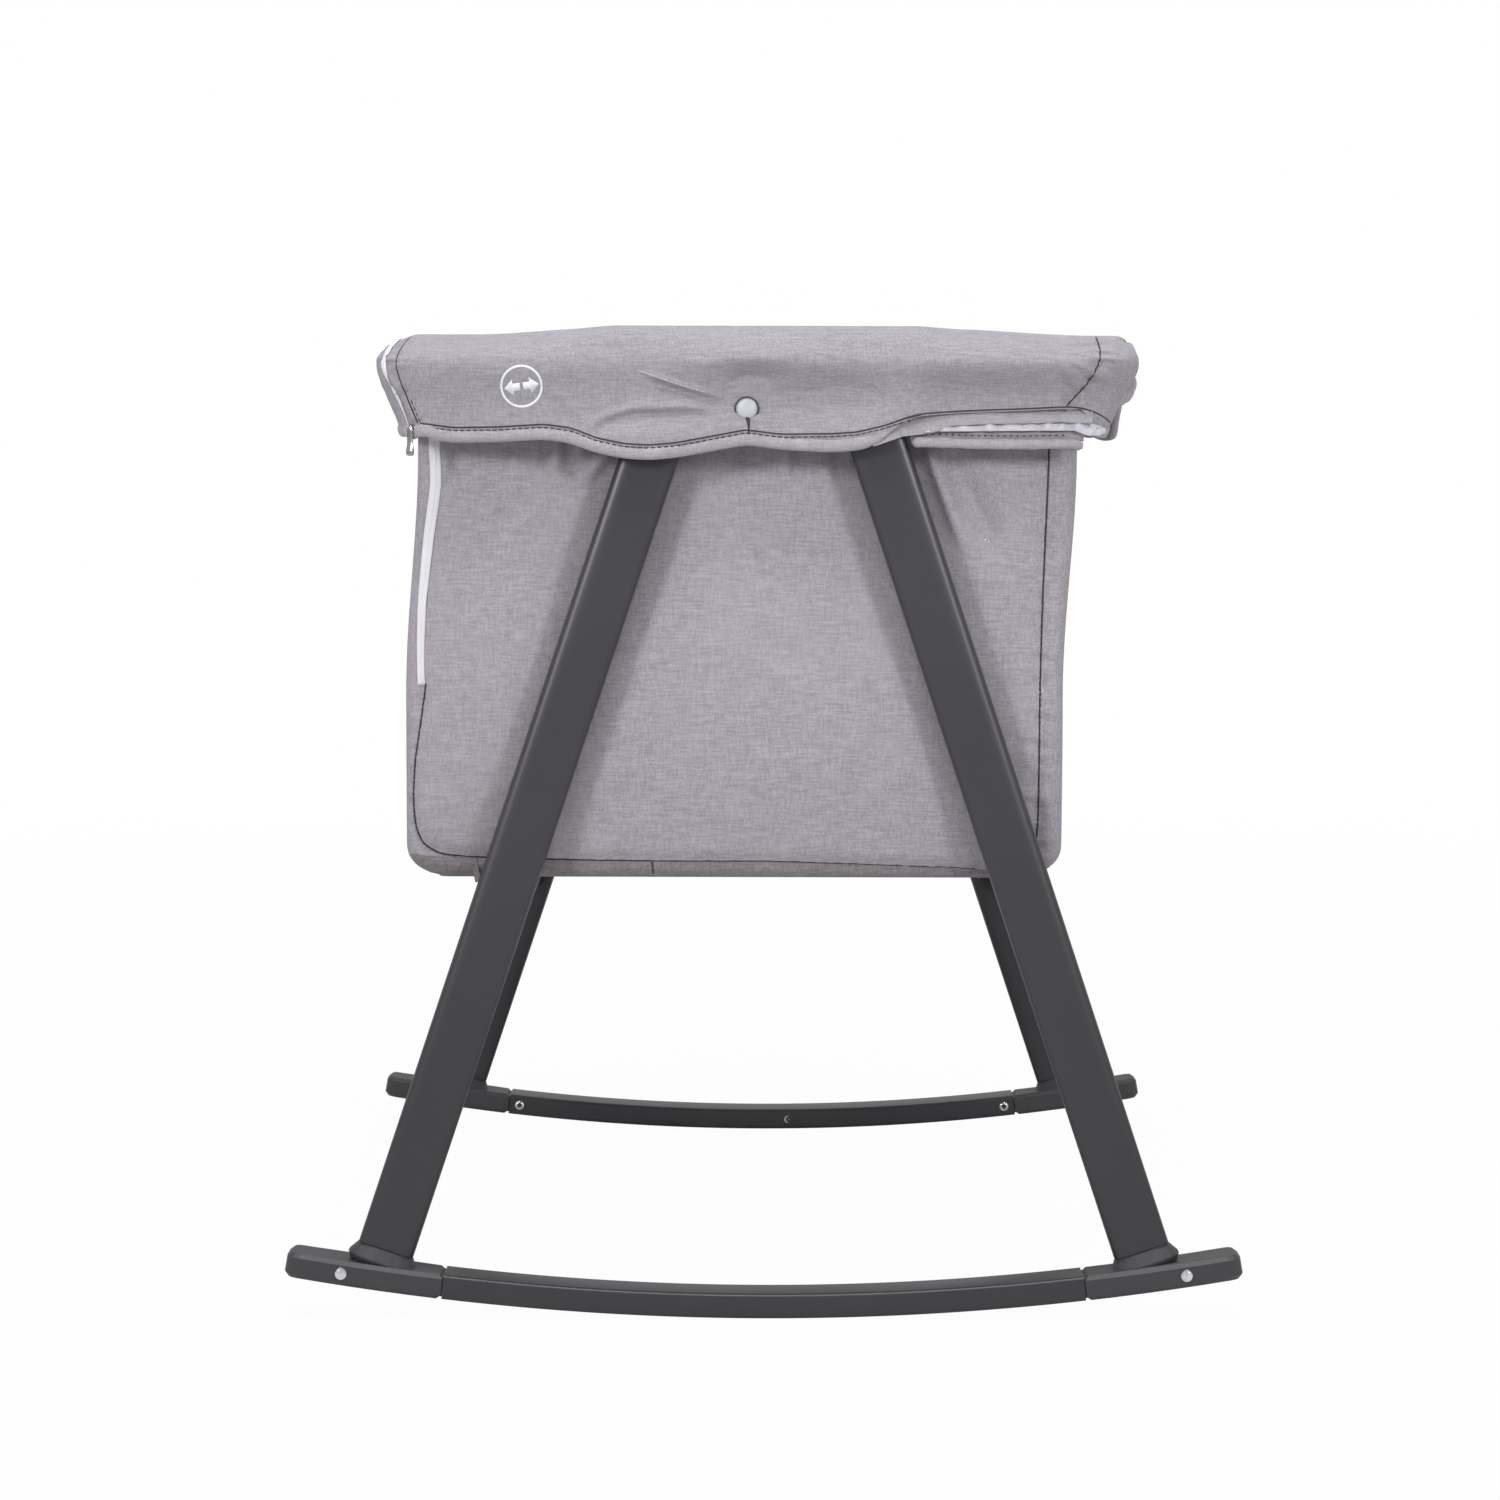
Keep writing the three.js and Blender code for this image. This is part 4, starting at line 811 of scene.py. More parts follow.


# Dark thread for the stitches. The same dark colour also draws continuous lines along seams, fold edges and
# the flap's hem, which are painted shade in those folds.
thread_and_seam_shade = trim("thread_and_seam_shade", (0.055, 0.050, 0.056, 1.0), 0.8)
white_tape = trim("white_tape", (0.80, 0.80, 0.84, 1.0), 0.55)
TAPE_SECTION = ((-1, 0), (-0.92, 0.8), (-0.4, 1.0), (-0.14, 1.1), (0, 1.9), (0.14, 1.1), (0.4, 1.0),
                (0.92, 0.8), (1, 0), (0.5, -1), (-0.5, -1))
tape_outline = [(a * 0.0036, b * 0.0006) for a, b in TAPE_SECTION]


def placed(line, s, middle=lean):
    """A line on the near end, as (x, z), moved to end s, where it is turned about the cloth's middle."""
    line = np.array(line, float)
    if s > 0:
        line[:, 0] = 2 * middle(line[:, 1]) - line[:, 0]
    return line


def wall_strip(grid, s):
    """The part of an end wall's grid between its bottom seam and its lower edge."""
    edge = LEFT_SEAM[-4:] + BOTTOM_SEAM[1:]
    columns = []
    for column in grid.transpose(1, 0, 2):
        x = column[-1, 0] if s < 0 else 2 * lean(column[-1, 2]) - column[-1, 0]
        if edge[0][0] <= x <= edge[-1][0]:
            top = np.interp(x, *np.array(edge).T) - 0.0004
            z = top + (BINDING_LOW - top) * np.sin(np.linspace(0, math.pi / 2, 15))
            columns.append(np.stack([np.interp(-z, -column[:, 2], column[:, c]) for c in range(3)], axis=1))
    return np.array(columns).transpose(1, 0, 2)


SEAM_STEP = 0.0015  # between the points of a seam
# The section of the dark line along each wall seam: painted shade in the seam's fold, not a thread.
WALL_SHADE_LINE = round_outline(0.00065, 0.00035)
WALL_STITCH = (0.0042, 0.0030, 0.00055, 0.0005)  # pitch, length, thread and lift
TAB_HALF, TAB_LENGTH = 0.0022, 0.0175
for end, s in ENDS.items():
    body = f"{end}_frame"
    grid = end_wall_grid(s)
    wall = shell(f"{end}_end_wall", grid, WALL_THICKNESS, wall_cloth, body, "linen")
    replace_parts(wall, f"{end}_end_panel")
    tree = tree_of(wall)
    rows = []
    # Each seam gets a dark line that is painted shade in its fold; the side seams also get rows of real
    # stitches.
    for seam in (LEFT_SEAM, RIGHT_SEAM, BOTTOM_SEAM, BINDING_JOINT):
        line, way = draped(tree, placed(resampled(seam, SEAM_STEP), s), s)
        lift = 0.0013 if seam is BINDING_JOINT else 0.0
        rows.append(swept(line, way, WALL_SHADE_LINE, None, lift))
        if seam in (LEFT_SEAM, RIGHT_SEAM):
            rows.append(stitches(line, way, *WALL_STITCH))
    build(f"{end}_wall_seams", *together(rows), thread_and_seam_shade, body, "linen")
    # The binding strip's darker cloth is partly painted shade.
    strip = wall_strip(grid, s)
    down = np.linspace(0, 1, len(strip))[:, None]
    pucker = np.abs(waves(strip[:, :, 0], strip[:, :, 2], 0.011, 0.0011, 95)) * np.sin(math.pi * down)
    strip[:, :, 1] += s * (0.0008 + pucker)
    strip[:, :, 2] -= 0.0010 * down
    shell(f"{end}_wall_binding", strip, 0.0008, edge_cloth_and_shade, body, "linen")
    spot, _ = draped(tree, placed([(TAB_TOP[0], TAB_TOP[1] - 0.004)], s), s)
    across, drop = np.meshgrid(-s * np.linspace(-TAB_HALF, TAB_HALF, 5), np.linspace(0, TAB_LENGTH, 7))
    tab_x, tab_y = spot[0, 0] + across - s * 0.2 * drop, np.full(drop.shape, spot[0, 1] + s * 0.0012)
    tab = np.stack([tab_x, tab_y, TAB_TOP[1] - drop], axis=2)
    shell(f"{end}_wall_tab", tab, 0.0009, edge_cloth_and_shade, body, "linen")
    line, way = draped(tree, placed(resampled(ZIP_LINE, 0.002), s), s)
    widths = 1.15 - 0.4 * smooth(np.linspace(-0.3, 1, len(line)))
    tape = swept(line, way, tape_outline, widths, 0.0004)
    tape = build(f"{end}_wall_zip", *tape, white_tape, body, "zip_tape")
    if end == "near":
        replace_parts(tape, "corner_zip_tape")


# Each long wall has a woven net window in a bound frame, above a seam near the floor.

WINDOW_HALF, WINDOW_LOW, WINDOW_HIGH, WINDOW_CORNER = 0.318, 0.482, 0.600, 0.030
LONG_SEAM_Z = 0.459
LONG_FOLDS = (-0.34, -0.21, -0.05, 0.11, 0.26, 0.345)  # Y of the soft folds below the rail


def fold_up(made):
    """Gives a side's cloth, or trim on it, a mesh of its own."""
    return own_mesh(made)


def long_relief(y, z, k):
    """A long wall's relief outwards."""
    relief = waves(y, z * 1.3, 0.30, 0.0016, 20 + k) + waves(y, z, 0.07, 0.00035, 30 + k)
    relief = relief + 0.0016 * smooth((z - 0.33) / 0.06) * smooth((0.47 - z) / 0.06)
    edge = np.hypot(np.maximum(np.abs(y) - WINDOW_HALF, 0), np.maximum(np.abs(z - 0.541) - 0.059, 0))
    relief = relief - 0.0012 * np.exp(-((edge / 0.012) ** 2))
    seam = ((-0.38, LONG_SEAM_Z), (0.38, LONG_SEAM_Z))
    relief = relief + drawn_in(y, z, seam, 0.0018, 0.004, 0.008, 0.014, 0.0007, 40 + k)
    for place in LONG_FOLDS:
        path = ((place, 0.690), (place + 0.012, 0.640), (place + 0.006, 0.600))
        relief = relief + fold(y, z, path, 0.009, 0.0022 * (1 if place > 0 else -1), 0.35)
    ends = smooth((WALL_SPLIT - np.abs(y)) / 0.03)
    return relief * ends * smooth((0.697 - z) / 0.03)


def side_lean(y, z, k):
    """A long wall's shift along X. The left one hangs straight, clear of the folding rails."""
    return lean(z) * (1.0 if k > 0 else smooth((np.abs(y) - 0.350) / (WALL_SPLIT - 0.350)))


def long_wall_grid(k):
    heights, inset = wall_heights("long")
    along = k * np.linspace(-WALL_SPLIT, WALL_SPLIT, LONG_COLUMNS)
    y, z = np.meshgrid(along, heights)
    x = half_width(z) - 0.4 * inset[:, None] + long_relief(y, z, k) * smooth((z - 0.317) / 0.006)
    return np.stack([k * x + side_lean(y, z, k), y, z], axis=2)


def netting(name, yarn):
    """Warp-knitted polyester net with small round holes."""
    g = Finish(name)
    flat = g.node("VectorMath", {"operation": "MULTIPLY"}, {0: g.place, 1: (0.0, 1.0, 0.8)})
    pattern = {"Vector": flat, "Scale": 470.0, "Randomness": 0.12}
    holes = g.node("TexVoronoi", {"feature": "F1"}, pattern, "Distance")
    thread = holes.between(0.30, 0.40)
    surface = {
        "Base Color": g.mix(holes.between(0.3, 0.6), shade(yarn, 0.8), yarn),
        "Roughness": 0.7,
        "Alpha": thread,
    }
    return g.surfaced(surface, thread, 0.4, 0.0004)


window_net = netting("window_net", (0.36, 0.35, 0.37, 1.0))
window_middle, window_rise = (WINDOW_HIGH + WINDOW_LOW) / 2, (WINDOW_HIGH - WINDOW_LOW) / 2
window_path = rounded_outline(WINDOW_HALF, window_rise, WINDOW_CORNER, 10)
BINDING_SECTION = ((-1, -0.4), (-0.9, 0.7), (-0.5, 1), (0.5, 1), (0.9, 0.7), (1, -0.4))
window_binding = [(a * 0.0045, b * 0.0011) for a, b in BINDING_SECTION]


def sideways(tree, line, k):
    """A line of (y, z) laid on the surface at side k, with its normals."""
    return cast(tree, [(k, y, z) for y, z in line], (-k, 0, 0))


for side, k in SIDES.items():
    wall = shell(f"long_wall_{side}", long_wall_grid(k), WALL_THICKNESS, wall_cloth, "near_frame", "linen")
    wall.data.materials.append(window_net)
    for face in wall.data.polygons:
        y, z = face.center.y, face.center.z - window_middle
        over_y, over_z = abs(y) - WINDOW_HALF + WINDOW_CORNER, abs(z) - window_rise + WINDOW_CORNER
        over = math.hypot(max(over_y, 0), max(over_z, 0))
        face.material_index = 1 if over < WINDOW_CORNER else 0
    tree = tree_of(wall)
    fold_up(wall)
    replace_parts(wall, f"side_panel_{side}")
    loop = [(y, window_middle + z) for y, z in window_path]
    line, way = sideways(tree, resampled(loop + loop[:1], 0.003, 2), k)
    binding = swept(line, way, window_binding, None, 0.0006)
    fold_up(build(f"window_binding_{side}", *binding, wall_cloth, "near_frame", "linen"))
    line, way = sideways(tree, resampled(((-0.376, LONG_SEAM_Z), (0.376, LONG_SEAM_Z)), 0.003), k)
    # A dark line along the seam, painted shade in its fold, and a row of stitches above it.
    rows = [swept(line, way, round_outline(0.0006, 0.0004))]
    rows.append(stitches(line + [0, 0, 0.003], way, 0.0045, 0.0032, 0.0005))
    fold_up(build(f"long_wall_seam_{side}", *together(rows), thread_and_seam_shade, "near_frame", "linen"))


# ---------------------------------------------------------------- floor
# Two boards in the wall's cloth hinge up against the end walls. A thin foam pad, quilted into
# a soft cover, lies on each. Ledges of covered board on the end walls carry them.

FLOOR_SHIFT = -0.0105  # the floor's middle
# Half-width, start and end along Y, low and high along Z, and the radius of the edge.
BOARD = (0.2173, 0.0006, 0.3750, 0.3250, 0.3300, 0.0022)
LEDGE = (0.205, 0.3635, 0.3915, 0.3205, 0.3242, 0.0016)


def slab(x_half, y_low, y_high, z_low, z_high, edge, crown=0.0, steps=(40, 32)):
    """Points and faces of a covered board with round edges, drawn as two skins that meet all round."""
    columns, rows = steps
    points, faces = [], []
    middle, half_y, half_z = (y_low + y_high) / 2, (y_high - y_low) / 2, (z_high - z_low) / 2
    u = np.sin(np.linspace(-1, 1, columns + 1) * math.pi / 2)
    v = np.sin(np.linspace(-1, 1, rows + 1) * math.pi / 2)
    uu, vv = np.meshgrid(u, v)
    for up in (1, -1):
        inset = np.minimum(x_half * (1 - np.abs(uu)), half_y * (1 - np.abs(vv)))
        round_off = np.sqrt(np.clip(1 - (1 - np.clip(inset / edge, 0, 1)) ** 2, 0, 1))
        lift = half_z * round_off + (up > 0) * crown * (1 - uu**2) * (1 - vv**2)
        skin = np.stack([x_half * uu, middle + half_y * vv, (z_low + z_high) / 2 + up * lift], axis=2)
        points.append(skin.reshape(-1, 3))
    total = (columns + 1) * (rows + 1)
    for i in range(rows):
        for j in range(columns):
            a = i * (columns + 1) + j
            quad = (a, a + 1, a + columns + 2, a + columns + 1)
            faces.append(quad)
            faces.append(tuple(total + q for q in quad[::-1]))
    return np.concatenate(points), faces


def welded(made, gap=0.00002):
    """Joins points that lie on each other."""
    work = bmesh.new()
    work.from_mesh(made.data)
    bmesh.ops.remove_doubles(work, verts=work.verts, dist=gap)
    bmesh.ops.recalc_face_normals(work, faces=work.faces)
    work.to_mesh(made.data)
    work.free()
    made.data.shade_smooth()
    return made


for end, s in ENDS.items():
    for name, (half, start, stop, *sizes), steps, body, stands_for in (
        ("floor_cover", BOARD, (40, 32), f"{end}_floor", f"{end}_floor_board"),
        ("floor_ledge", LEDGE, (40, 6), f"{end}_frame", None),
    ):
        points, faces = slab(half, *sorted((s * start, s * stop)), *sizes, 0.0, steps)
        board = welded(build(f"{end}_{name}", points + [FLOOR_SHIFT, 0, 0], faces, wall_cloth, body, "linen"))
        if stands_for:
            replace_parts(board, stands_for)


pad_cover = melange("pad_cover", (0.46, 0.45, 0.47, 1.0), (0.60, 0.59, 0.61, 1.0), 0.3)
PAD_HALF, PAD_START, PAD_END = 0.2145, 0.0024, 0.3728  # half the width, and from where to where along Y
PAD_LOW, PAD_HIGH = 0.3304, 0.3452
PAD_SWELL = 0.0035  # most that the blown-up cover moves


def swollen(made, voxel, pressure, cap):
    """Blows a closed cover up against its seams with a cloth simulation, and keeps the result."""
    remesh = made.modifiers.new("remesh", "REMESH")
    remesh.mode, remesh.voxel_size = "VOXEL", voxel
    bpy.context.view_layer.objects.active = made
    made.select_set(True)
    bpy.ops.object.modifier_apply(modifier=remesh.name)
    start = np.array([v.co for v in made.data.vertices])
    cloth = made.modifiers.new("cloth", "CLOTH")
    cloth.settings.use_pressure = True
    cloth.settings.uniform_pressure_force = pressure
    cloth.settings.effector_weights.gravity = 0.0
    cloth.point_cache.frame_start, cloth.point_cache.frame_end = 1, 20
    for step in range(1, 21):
        scene.frame_set(step)
    shape = made.evaluated_get(bpy.context.evaluated_depsgraph_get())
    moved = np.array([v.co for v in shape.data.vertices])
    made.modifiers.remove(cloth)
    scene.frame_set(1)
    push = moved - start
    far = np.linalg.norm(push, axis=1, keepdims=True)
    push *= np.minimum(1.0, cap / np.maximum(far, 1e-9))
    made.data.vertices.foreach_set("co", (start + push).astype(np.float32).ravel())
    made.select_set(False)
    return made


def quilted(points):
    """Draws the pad's top in along its sewn channels, and keeps it inside its space."""
    x, y, z = points.T
    top = smooth((z - PAD_LOW - 0.007) / 0.006)
    along = y - (PAD_START + PAD_END) / 2
    for across, channels in ((x, (-0.111, 0.0, 0.111)), (along, (-0.0925, 0.0, 0.0925))):
        for channel in channels:
            z = z - top * 0.0030 * bell(across, channel, 0.006)
    z = z + top * waves(x, along, 0.06, 0.0004, 51)
    x = np.clip(x, -PAD_HALF - 0.001, PAD_HALF + 0.001)
    return np.stack([x, y, np.clip(z, PAD_LOW, PAD_HIGH + 0.004)], axis=1)


pad_sizes = (PAD_HALF - 0.002, PAD_START + 0.002, PAD_END - 0.002, PAD_LOW + 0.0008, PAD_HIGH - 0.002)
points, faces = slab(*pad_sizes, 0.009, 0.001, (60, 50))
far_pad = welded(build("far_pad", points, faces, pad_cover))
swollen(far_pad, 0.005, 4.0, PAD_SWELL)
subdivided = far_pad.modifiers.new("smooth", "SUBSURF")
subdivided.levels = subdivided.render_levels = 1
bpy.context.view_layer.objects.active = far_pad
bpy.ops.object.modifier_apply(modifier=subdivided.name)
shape = quilted(np.array([v.co for v in far_pad.data.vertices]))
far_pad.data.vertices.foreach_set("co", (shape + [FLOOR_SHIFT, 0, 0]).astype(np.float32).ravel())
far_pad.data.update()
near_pad = bpy.data.objects.new("near_pad", far_pad.data.copy())
scene.collection.objects.link(near_pad)
near_pad.data.transform(Matrix.Diagonal((1, -1, 1, 1)))
near_pad.data.flip_normals()
for end, pad in (("near", near_pad), ("far", far_pad)):
    pad.data.shade_smooth()
    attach(pad, f"{end}_floor")
    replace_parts(pad, f"{end}_mattress_pad")


# ---------------------------------------------------------------- collar
# A quilt-backed band in finer melange covers the rails. It rolls over the top and hangs outside as
# a loose flap with a bound hem, held down at each end by a snap between the legs. The right part
# of an end's hem is turned up and shows its zip tape.

collar_cloth = melange("collar_melange", (0.236, 0.223, 0.252, 1.0), (0.378, 0.361, 0.395, 1.0), 0.2, 0.7)
binding_cloth = melange("binding_twill", (0.290, 0.275, 0.300, 1.0), (0.415, 0.398, 0.424, 1.0), 0.2, 1.0)
COLLAR_SPLIT = 0.375
FLAP_TOP, FLAP_HEM = 0.688, 0.633
HEM_SHIFT = -0.007  # of the hem along X, as the loose flap hangs a little to the left
RAIL_CLEAR = 0.2661  # least |X| of the flap's outside beside the rails, which fold down inside it
HEM_RAISE = 0.035  # of the right side's hem towards the near corner, where the rail folds down behind it
# Each row of the cloth from the inner lip over the rail to the hem: half-width and height over the
# side rails, half-length over the end rail, then half-length and height over the top bracket.
COLLAR_ROWS = (
    (0.2352, 0.6850, 0.3795, 0.3795, 0.6850),
    (0.2352, 0.7040, 0.3795, 0.3795, 0.7045),
    (0.2372, 0.7090, 0.3815, 0.3815, 0.7100),
    (0.2440, 0.7108, 0.3900, 0.3900, 0.7120),
    (0.2520, 0.7110, 0.4035, 0.4060, 0.7128),
    (0.2600, 0.7092, 0.4165, 0.4240, 0.7124),
    (0.2668, 0.7050, 0.4275, 0.4335, 0.7090),
    (0.2704, 0.6990, 0.4345, 0.4372, 0.7025),
    (0.2714, 0.6910, 0.4378, 0.4382, 0.6910),
    (0.2704, 0.6800, 0.4380, 0.4384, 0.6800),
    (0.2684, 0.6710, 0.4378, 0.4382, 0.6710),
    (0.2652, 0.6620, 0.4376, 0.4380, 0.6620),
    (0.2606, 0.6510, 0.4374, 0.4378, 0.6510),
    (0.2562, 0.6405, 0.4374, 0.4376, 0.6405),
    (0.2546, FLAP_HEM, 0.4374, 0.4376, FLAP_HEM),
)
collar_rows = resampled(COLLAR_ROWS, 0.0015, 5)
row_share = np.linspace(0, 1, len(collar_rows))
FLAP_THICKNESS = 0.0013 + 0.0024 * smooth((row_share - 0.40) / 0.15)
OVER_BRACKET = 0.105  # half the top bracket's width
HEM = ((-0.30, 0.6340), (-0.245, 0.6330), (-0.222, 0.6300), (-0.190, 0.6305), (-0.157, 0.6325),
       (-0.138, 0.6300), (-0.120, 0.6230), (-0.100, 0.6190), (-0.083, 0.6180), (-0.065, 0.6195),
       (-0.040, 0.6240), (-0.0140, 0.6290), (0.012, 0.6255), (0.045, 0.6238), (0.064, 0.6250),
       (0.078, 0.6285), (0.088, 0.6375), (0.098, 0.6455), (0.111, 0.6489), (0.126, 0.6502),
       (0.157, 0.6517), (0.184, 0.6526), (0.212, 0.6540), (0.30, 0.6545))
hem_line = resampled(HEM, 0.002, 12)
LEFT_TAPE = ((-0.2620, 0.7030), (-0.2690, 0.6960), (-0.2725, 0.6870), (-0.2705, 0.6780), (-0.2660, 0.6690),
             (-0.2590, 0.6560), (-0.2535, 0.6400))
LEFT_STITCH = ((-0.2540, 0.7040), (-0.2600, 0.6960), (-0.2630, 0.6870), (-0.2615, 0.6780), (-0.2575, 0.6680),
               (-0.2520, 0.6550), (-0.2470, 0.6430))
RIGHT_STITCH = ((0.2340, 0.7080), (0.2368, 0.7000), (0.2362, 0.6880), (0.2290, 0.6735), (0.2125, 0.6552))
SNAP = (-0.0136, 0.6535)
SNAP_SLIT = ((-0.0136, 0.6490), (-0.0112, 0.6425), (-0.0130, 0.6360), (-0.0118, 0.6290))
FLAP_EDGE = ((0.0940, 0.6455), (0.1040, 0.6492), (0.1110, 0.6503), (0.1260, 0.6516), (0.1570, 0.6531),
             (0.1840, 0.6540), (0.2120, 0.6554), (0.2230, 0.6552), (0.2360, 0.6512), (0.2435, 0.6466),
             (0.2478, 0.6425))
BINDING_EDGE = tuple(point for point in HEM if -0.25 < point[0] < 0.07)
BINDING_EDGE += ((0.084, 0.6297), (0.0975, 0.6345), (0.1100, 0.6375))
TURN_UP_TOP = ((0.076, 0.6370), (0.088, 0.6480), (0.100, 0.6540), (0.130, 0.6570), (0.180, 0.6590),
               (0.232, 0.6605))
TURN_UP_LOW = ((0.076, 0.6270), (0.084, 0.6297), (0.0975, 0.6343), (0.112, 0.6359), (0.119, 0.6372),
               (0.1295, 0.6417), (0.157, 0.6433), (0.184, 0.6436), (0.211, 0.6446), (0.232, 0.6436))
TAPE_TOP = ((0.112, 0.6380), (0.130, 0.6450), (0.211, 0.6475), (0.225, 0.6465), (0.241, 0.6405))
TAPE_LOW = ((0.112, 0.6376), (0.121, 0.6378), (0.200, 0.6386), (0.219, 0.6386), (0.228, 0.6352),
            (0.237, 0.6352), (0.241, 0.6370))
LINING_TOP, LINING_LOW = ((0.103, 0.6420), (0.226, 0.6420)), ((0.103, 0.6310), (0.226, 0.6310))
LOWER_ROLL = ((0.1035, 0.4275, 0.6303), (0.122, 0.4275, 0.6300), (0.150, 0.4278, 0.6290),
              (0.186, 0.4278, 0.6288), (0.215, 0.4275, 0.6296), (0.2235, 0.4272, 0.6288),
              (0.2250, 0.4270, 0.6262))
# Folds in an end's flap: path, width, height, fade, and whether it is sharp.
FLAP_FOLDS = (
    (((-0.014, 0.655), (0.016, 0.6595), (0.050, 0.6625), (0.100, 0.6600)), 0.0085, -0.0060, 0.35, False),
    (((-0.024, 0.6590), (-0.040, 0.6640), (-0.064, 0.6715), (-0.090, 0.6800)), 0.0022, 0.0034, 0.3, False),
    (((-0.024, 0.6548), (-0.040, 0.6598), (-0.064, 0.6673), (-0.090, 0.6758)), 0.0034, -0.0034, 0.3, False),
    (((-0.020, 0.6575), (-0.050, 0.6680), (-0.085, 0.6785)), 0.012, -0.0026, 0.35, False),
    (((-0.131, 0.6330), (-0.113, 0.6460), (-0.094, 0.6515), (-0.062, 0.6525), (-0.030, 0.6510)),
     0.0040, -0.0036, 0.3, True),
    (((-0.058, 0.6900), (-0.044, 0.6875), (-0.030, 0.6880)), 0.0035, 0.0010, 0.4, True),
    (((-0.024, 0.650), (-0.044, 0.646)), 0.0028, -0.0011, 0.4, False),
    (((0.000, 0.650), (0.022, 0.645)), 0.0028, -0.0011, 0.4, False),
    (((-0.018, 0.662), (-0.026, 0.678)), 0.0028, -0.0011, 0.4, False),
    (((-0.0128, 0.6480), (-0.0118, 0.6400), (-0.0128, 0.6260)), 0.0030, 0.0016, 0.2, True),
)
BRACKET_GAP = 0.0049  # that the flap's relief may use, over the top bracket
SIDE_FOLDS = (-0.29, -0.13, 0.04, 0.19, 0.31)  # Y of the folds in a side's flap
RIGHT_RISE = 0.0202  # of the hem where an end's flap meets the right corner
# Columns of an end's collar beside a corner, round it and between the two, and of a side's collar.
RETURN_STEPS, TURN_STEPS, FRONT_STEPS, SIDE_COLUMNS = 4, 22, 340, 200


def collar_shift(rows):
    """The loose flap hangs a little to the left of the rails."""
    return -0.005 * smooth((rows - 0.35) / 0.15) + (HEM_SHIFT + 0.005) * smooth((rows - 0.72) / 0.15)


def rail_room(k, a, y):
    """How much further out a row of the flap hangs beside the rails than round the corners. On the
    right it widens over a short run behind the near corner."""
    clear = np.maximum(a, RAIL_CLEAR - k * collar_shift(row_share)) - a
    near, far = np.clip((0.430 + y) / 0.122, 0, 1), smooth((0.418 - y) / 0.045)
    if k > 0:
        near = smooth((0.3915 + y) / 0.0105)
    return clear * smooth((row_share - 0.45) / 0.15) * np.where(y < 0, near, far)


def crown_sag(x, rows):
    """How far the collar's top drops towards its corners, where nothing lies under it but rail."""
    left = 0.0046 * smooth((-0.118 - x) / 0.090) + 0.0022 * smooth((-0.250 - x) / 0.014)
    right = 0.0046 * smooth((x - 0.125) / 0.110) - 0.0022 * smooth((x - 0.2575) / 0.008)
    return (left + right) * smooth((rows - 0.11) / 0.06) * smooth((0.70 - rows) / 0.20)


def flap_relief(x, z, rows):
    """Outward relief of the flap at an end: rolls, the pull of the snap, and its drawn creases."""
    right = smooth((0.262 - x) / 0.030)
    roll = 0.0036 * bell(z, 0.684, 0.014) + 0.0056 * bell(z, 0.691, 0.012) * bell(x, 0.006, 0.060)
    roll = roll + 0.0026 * bell(z, 0.686, 0.015) * smooth((x - 0.080) / 0.060) * right
    swell = 0.0075 * smooth((0.653 - z) / 0.022) * bell(x, -0.086, 0.042)
    swell = swell + 0.0060 * smooth((0.653 - z) / 0.020) * bell(x, 0.040, 0.044)
    dip = 0.0008 * bell(np.hypot((x - SNAP[0]) / 1.25, z - SNAP[1]), 0, 0.010)
    dip = dip + 0.0110 * smooth((0.689 - z) / 0.015) * smooth((z - 0.643) / 0.018) * bell(x, -0.010, 0.022)
    dip = dip + 0.0030 * smooth((0.686 - z) / 0.014) * smooth((z - 0.650) / 0.020) * bell(x, 0.048, 0.036)
    dip = dip + 0.0074 * smooth((0.688 - z) / 0.026) * smooth((x - 0.085) / 0.045) * right
    dip = dip + 0.0015 * smooth((0.675 - z) / 0.03) * smooth((-0.13 - x) / 0.05)
    dip = dip + 0.0032 * bell(z, 0.667, 0.020) * smooth((x - 0.22) / 0.03)
    dip = dip + 0.0034 * bell(nearest(x, z, LEFT_TAPE)[0], 0, 0.0026)
    relief = waves(x, z, 0.12, 0.0008, 61) + waves(x, z, 0.035, 0.00022, 62)
    relief = relief + roll * smooth((rows - 0.42) / 0.08) + swell - dip
    for path, width, height, fade, sharp in FLAP_FOLDS:
        relief = relief + fold(x, z, path, width, height, fade, sharp)
    beside_zip = (np.array(LEFT_TAPE) + LEFT_STITCH) / 2
    relief = relief + fold(x, z, beside_zip, 0.0034, 0.0022, 0.15)
    relief = relief + drawn_in(x, z, LEFT_STITCH, 0.0013, 0.0035, 0.009, 0.011, 0.0008, 71)
    relief = relief + drawn_in(x, z, RIGHT_STITCH, 0.0022, 0.0035, 0.009, 0.011, 0.0021, 72)
    relief = np.maximum(relief, -BRACKET_GAP - 0.03 * smooth((np.abs(x) - 0.108) / 0.02))
    return relief * smooth((rows - 0.30) / 0.12)


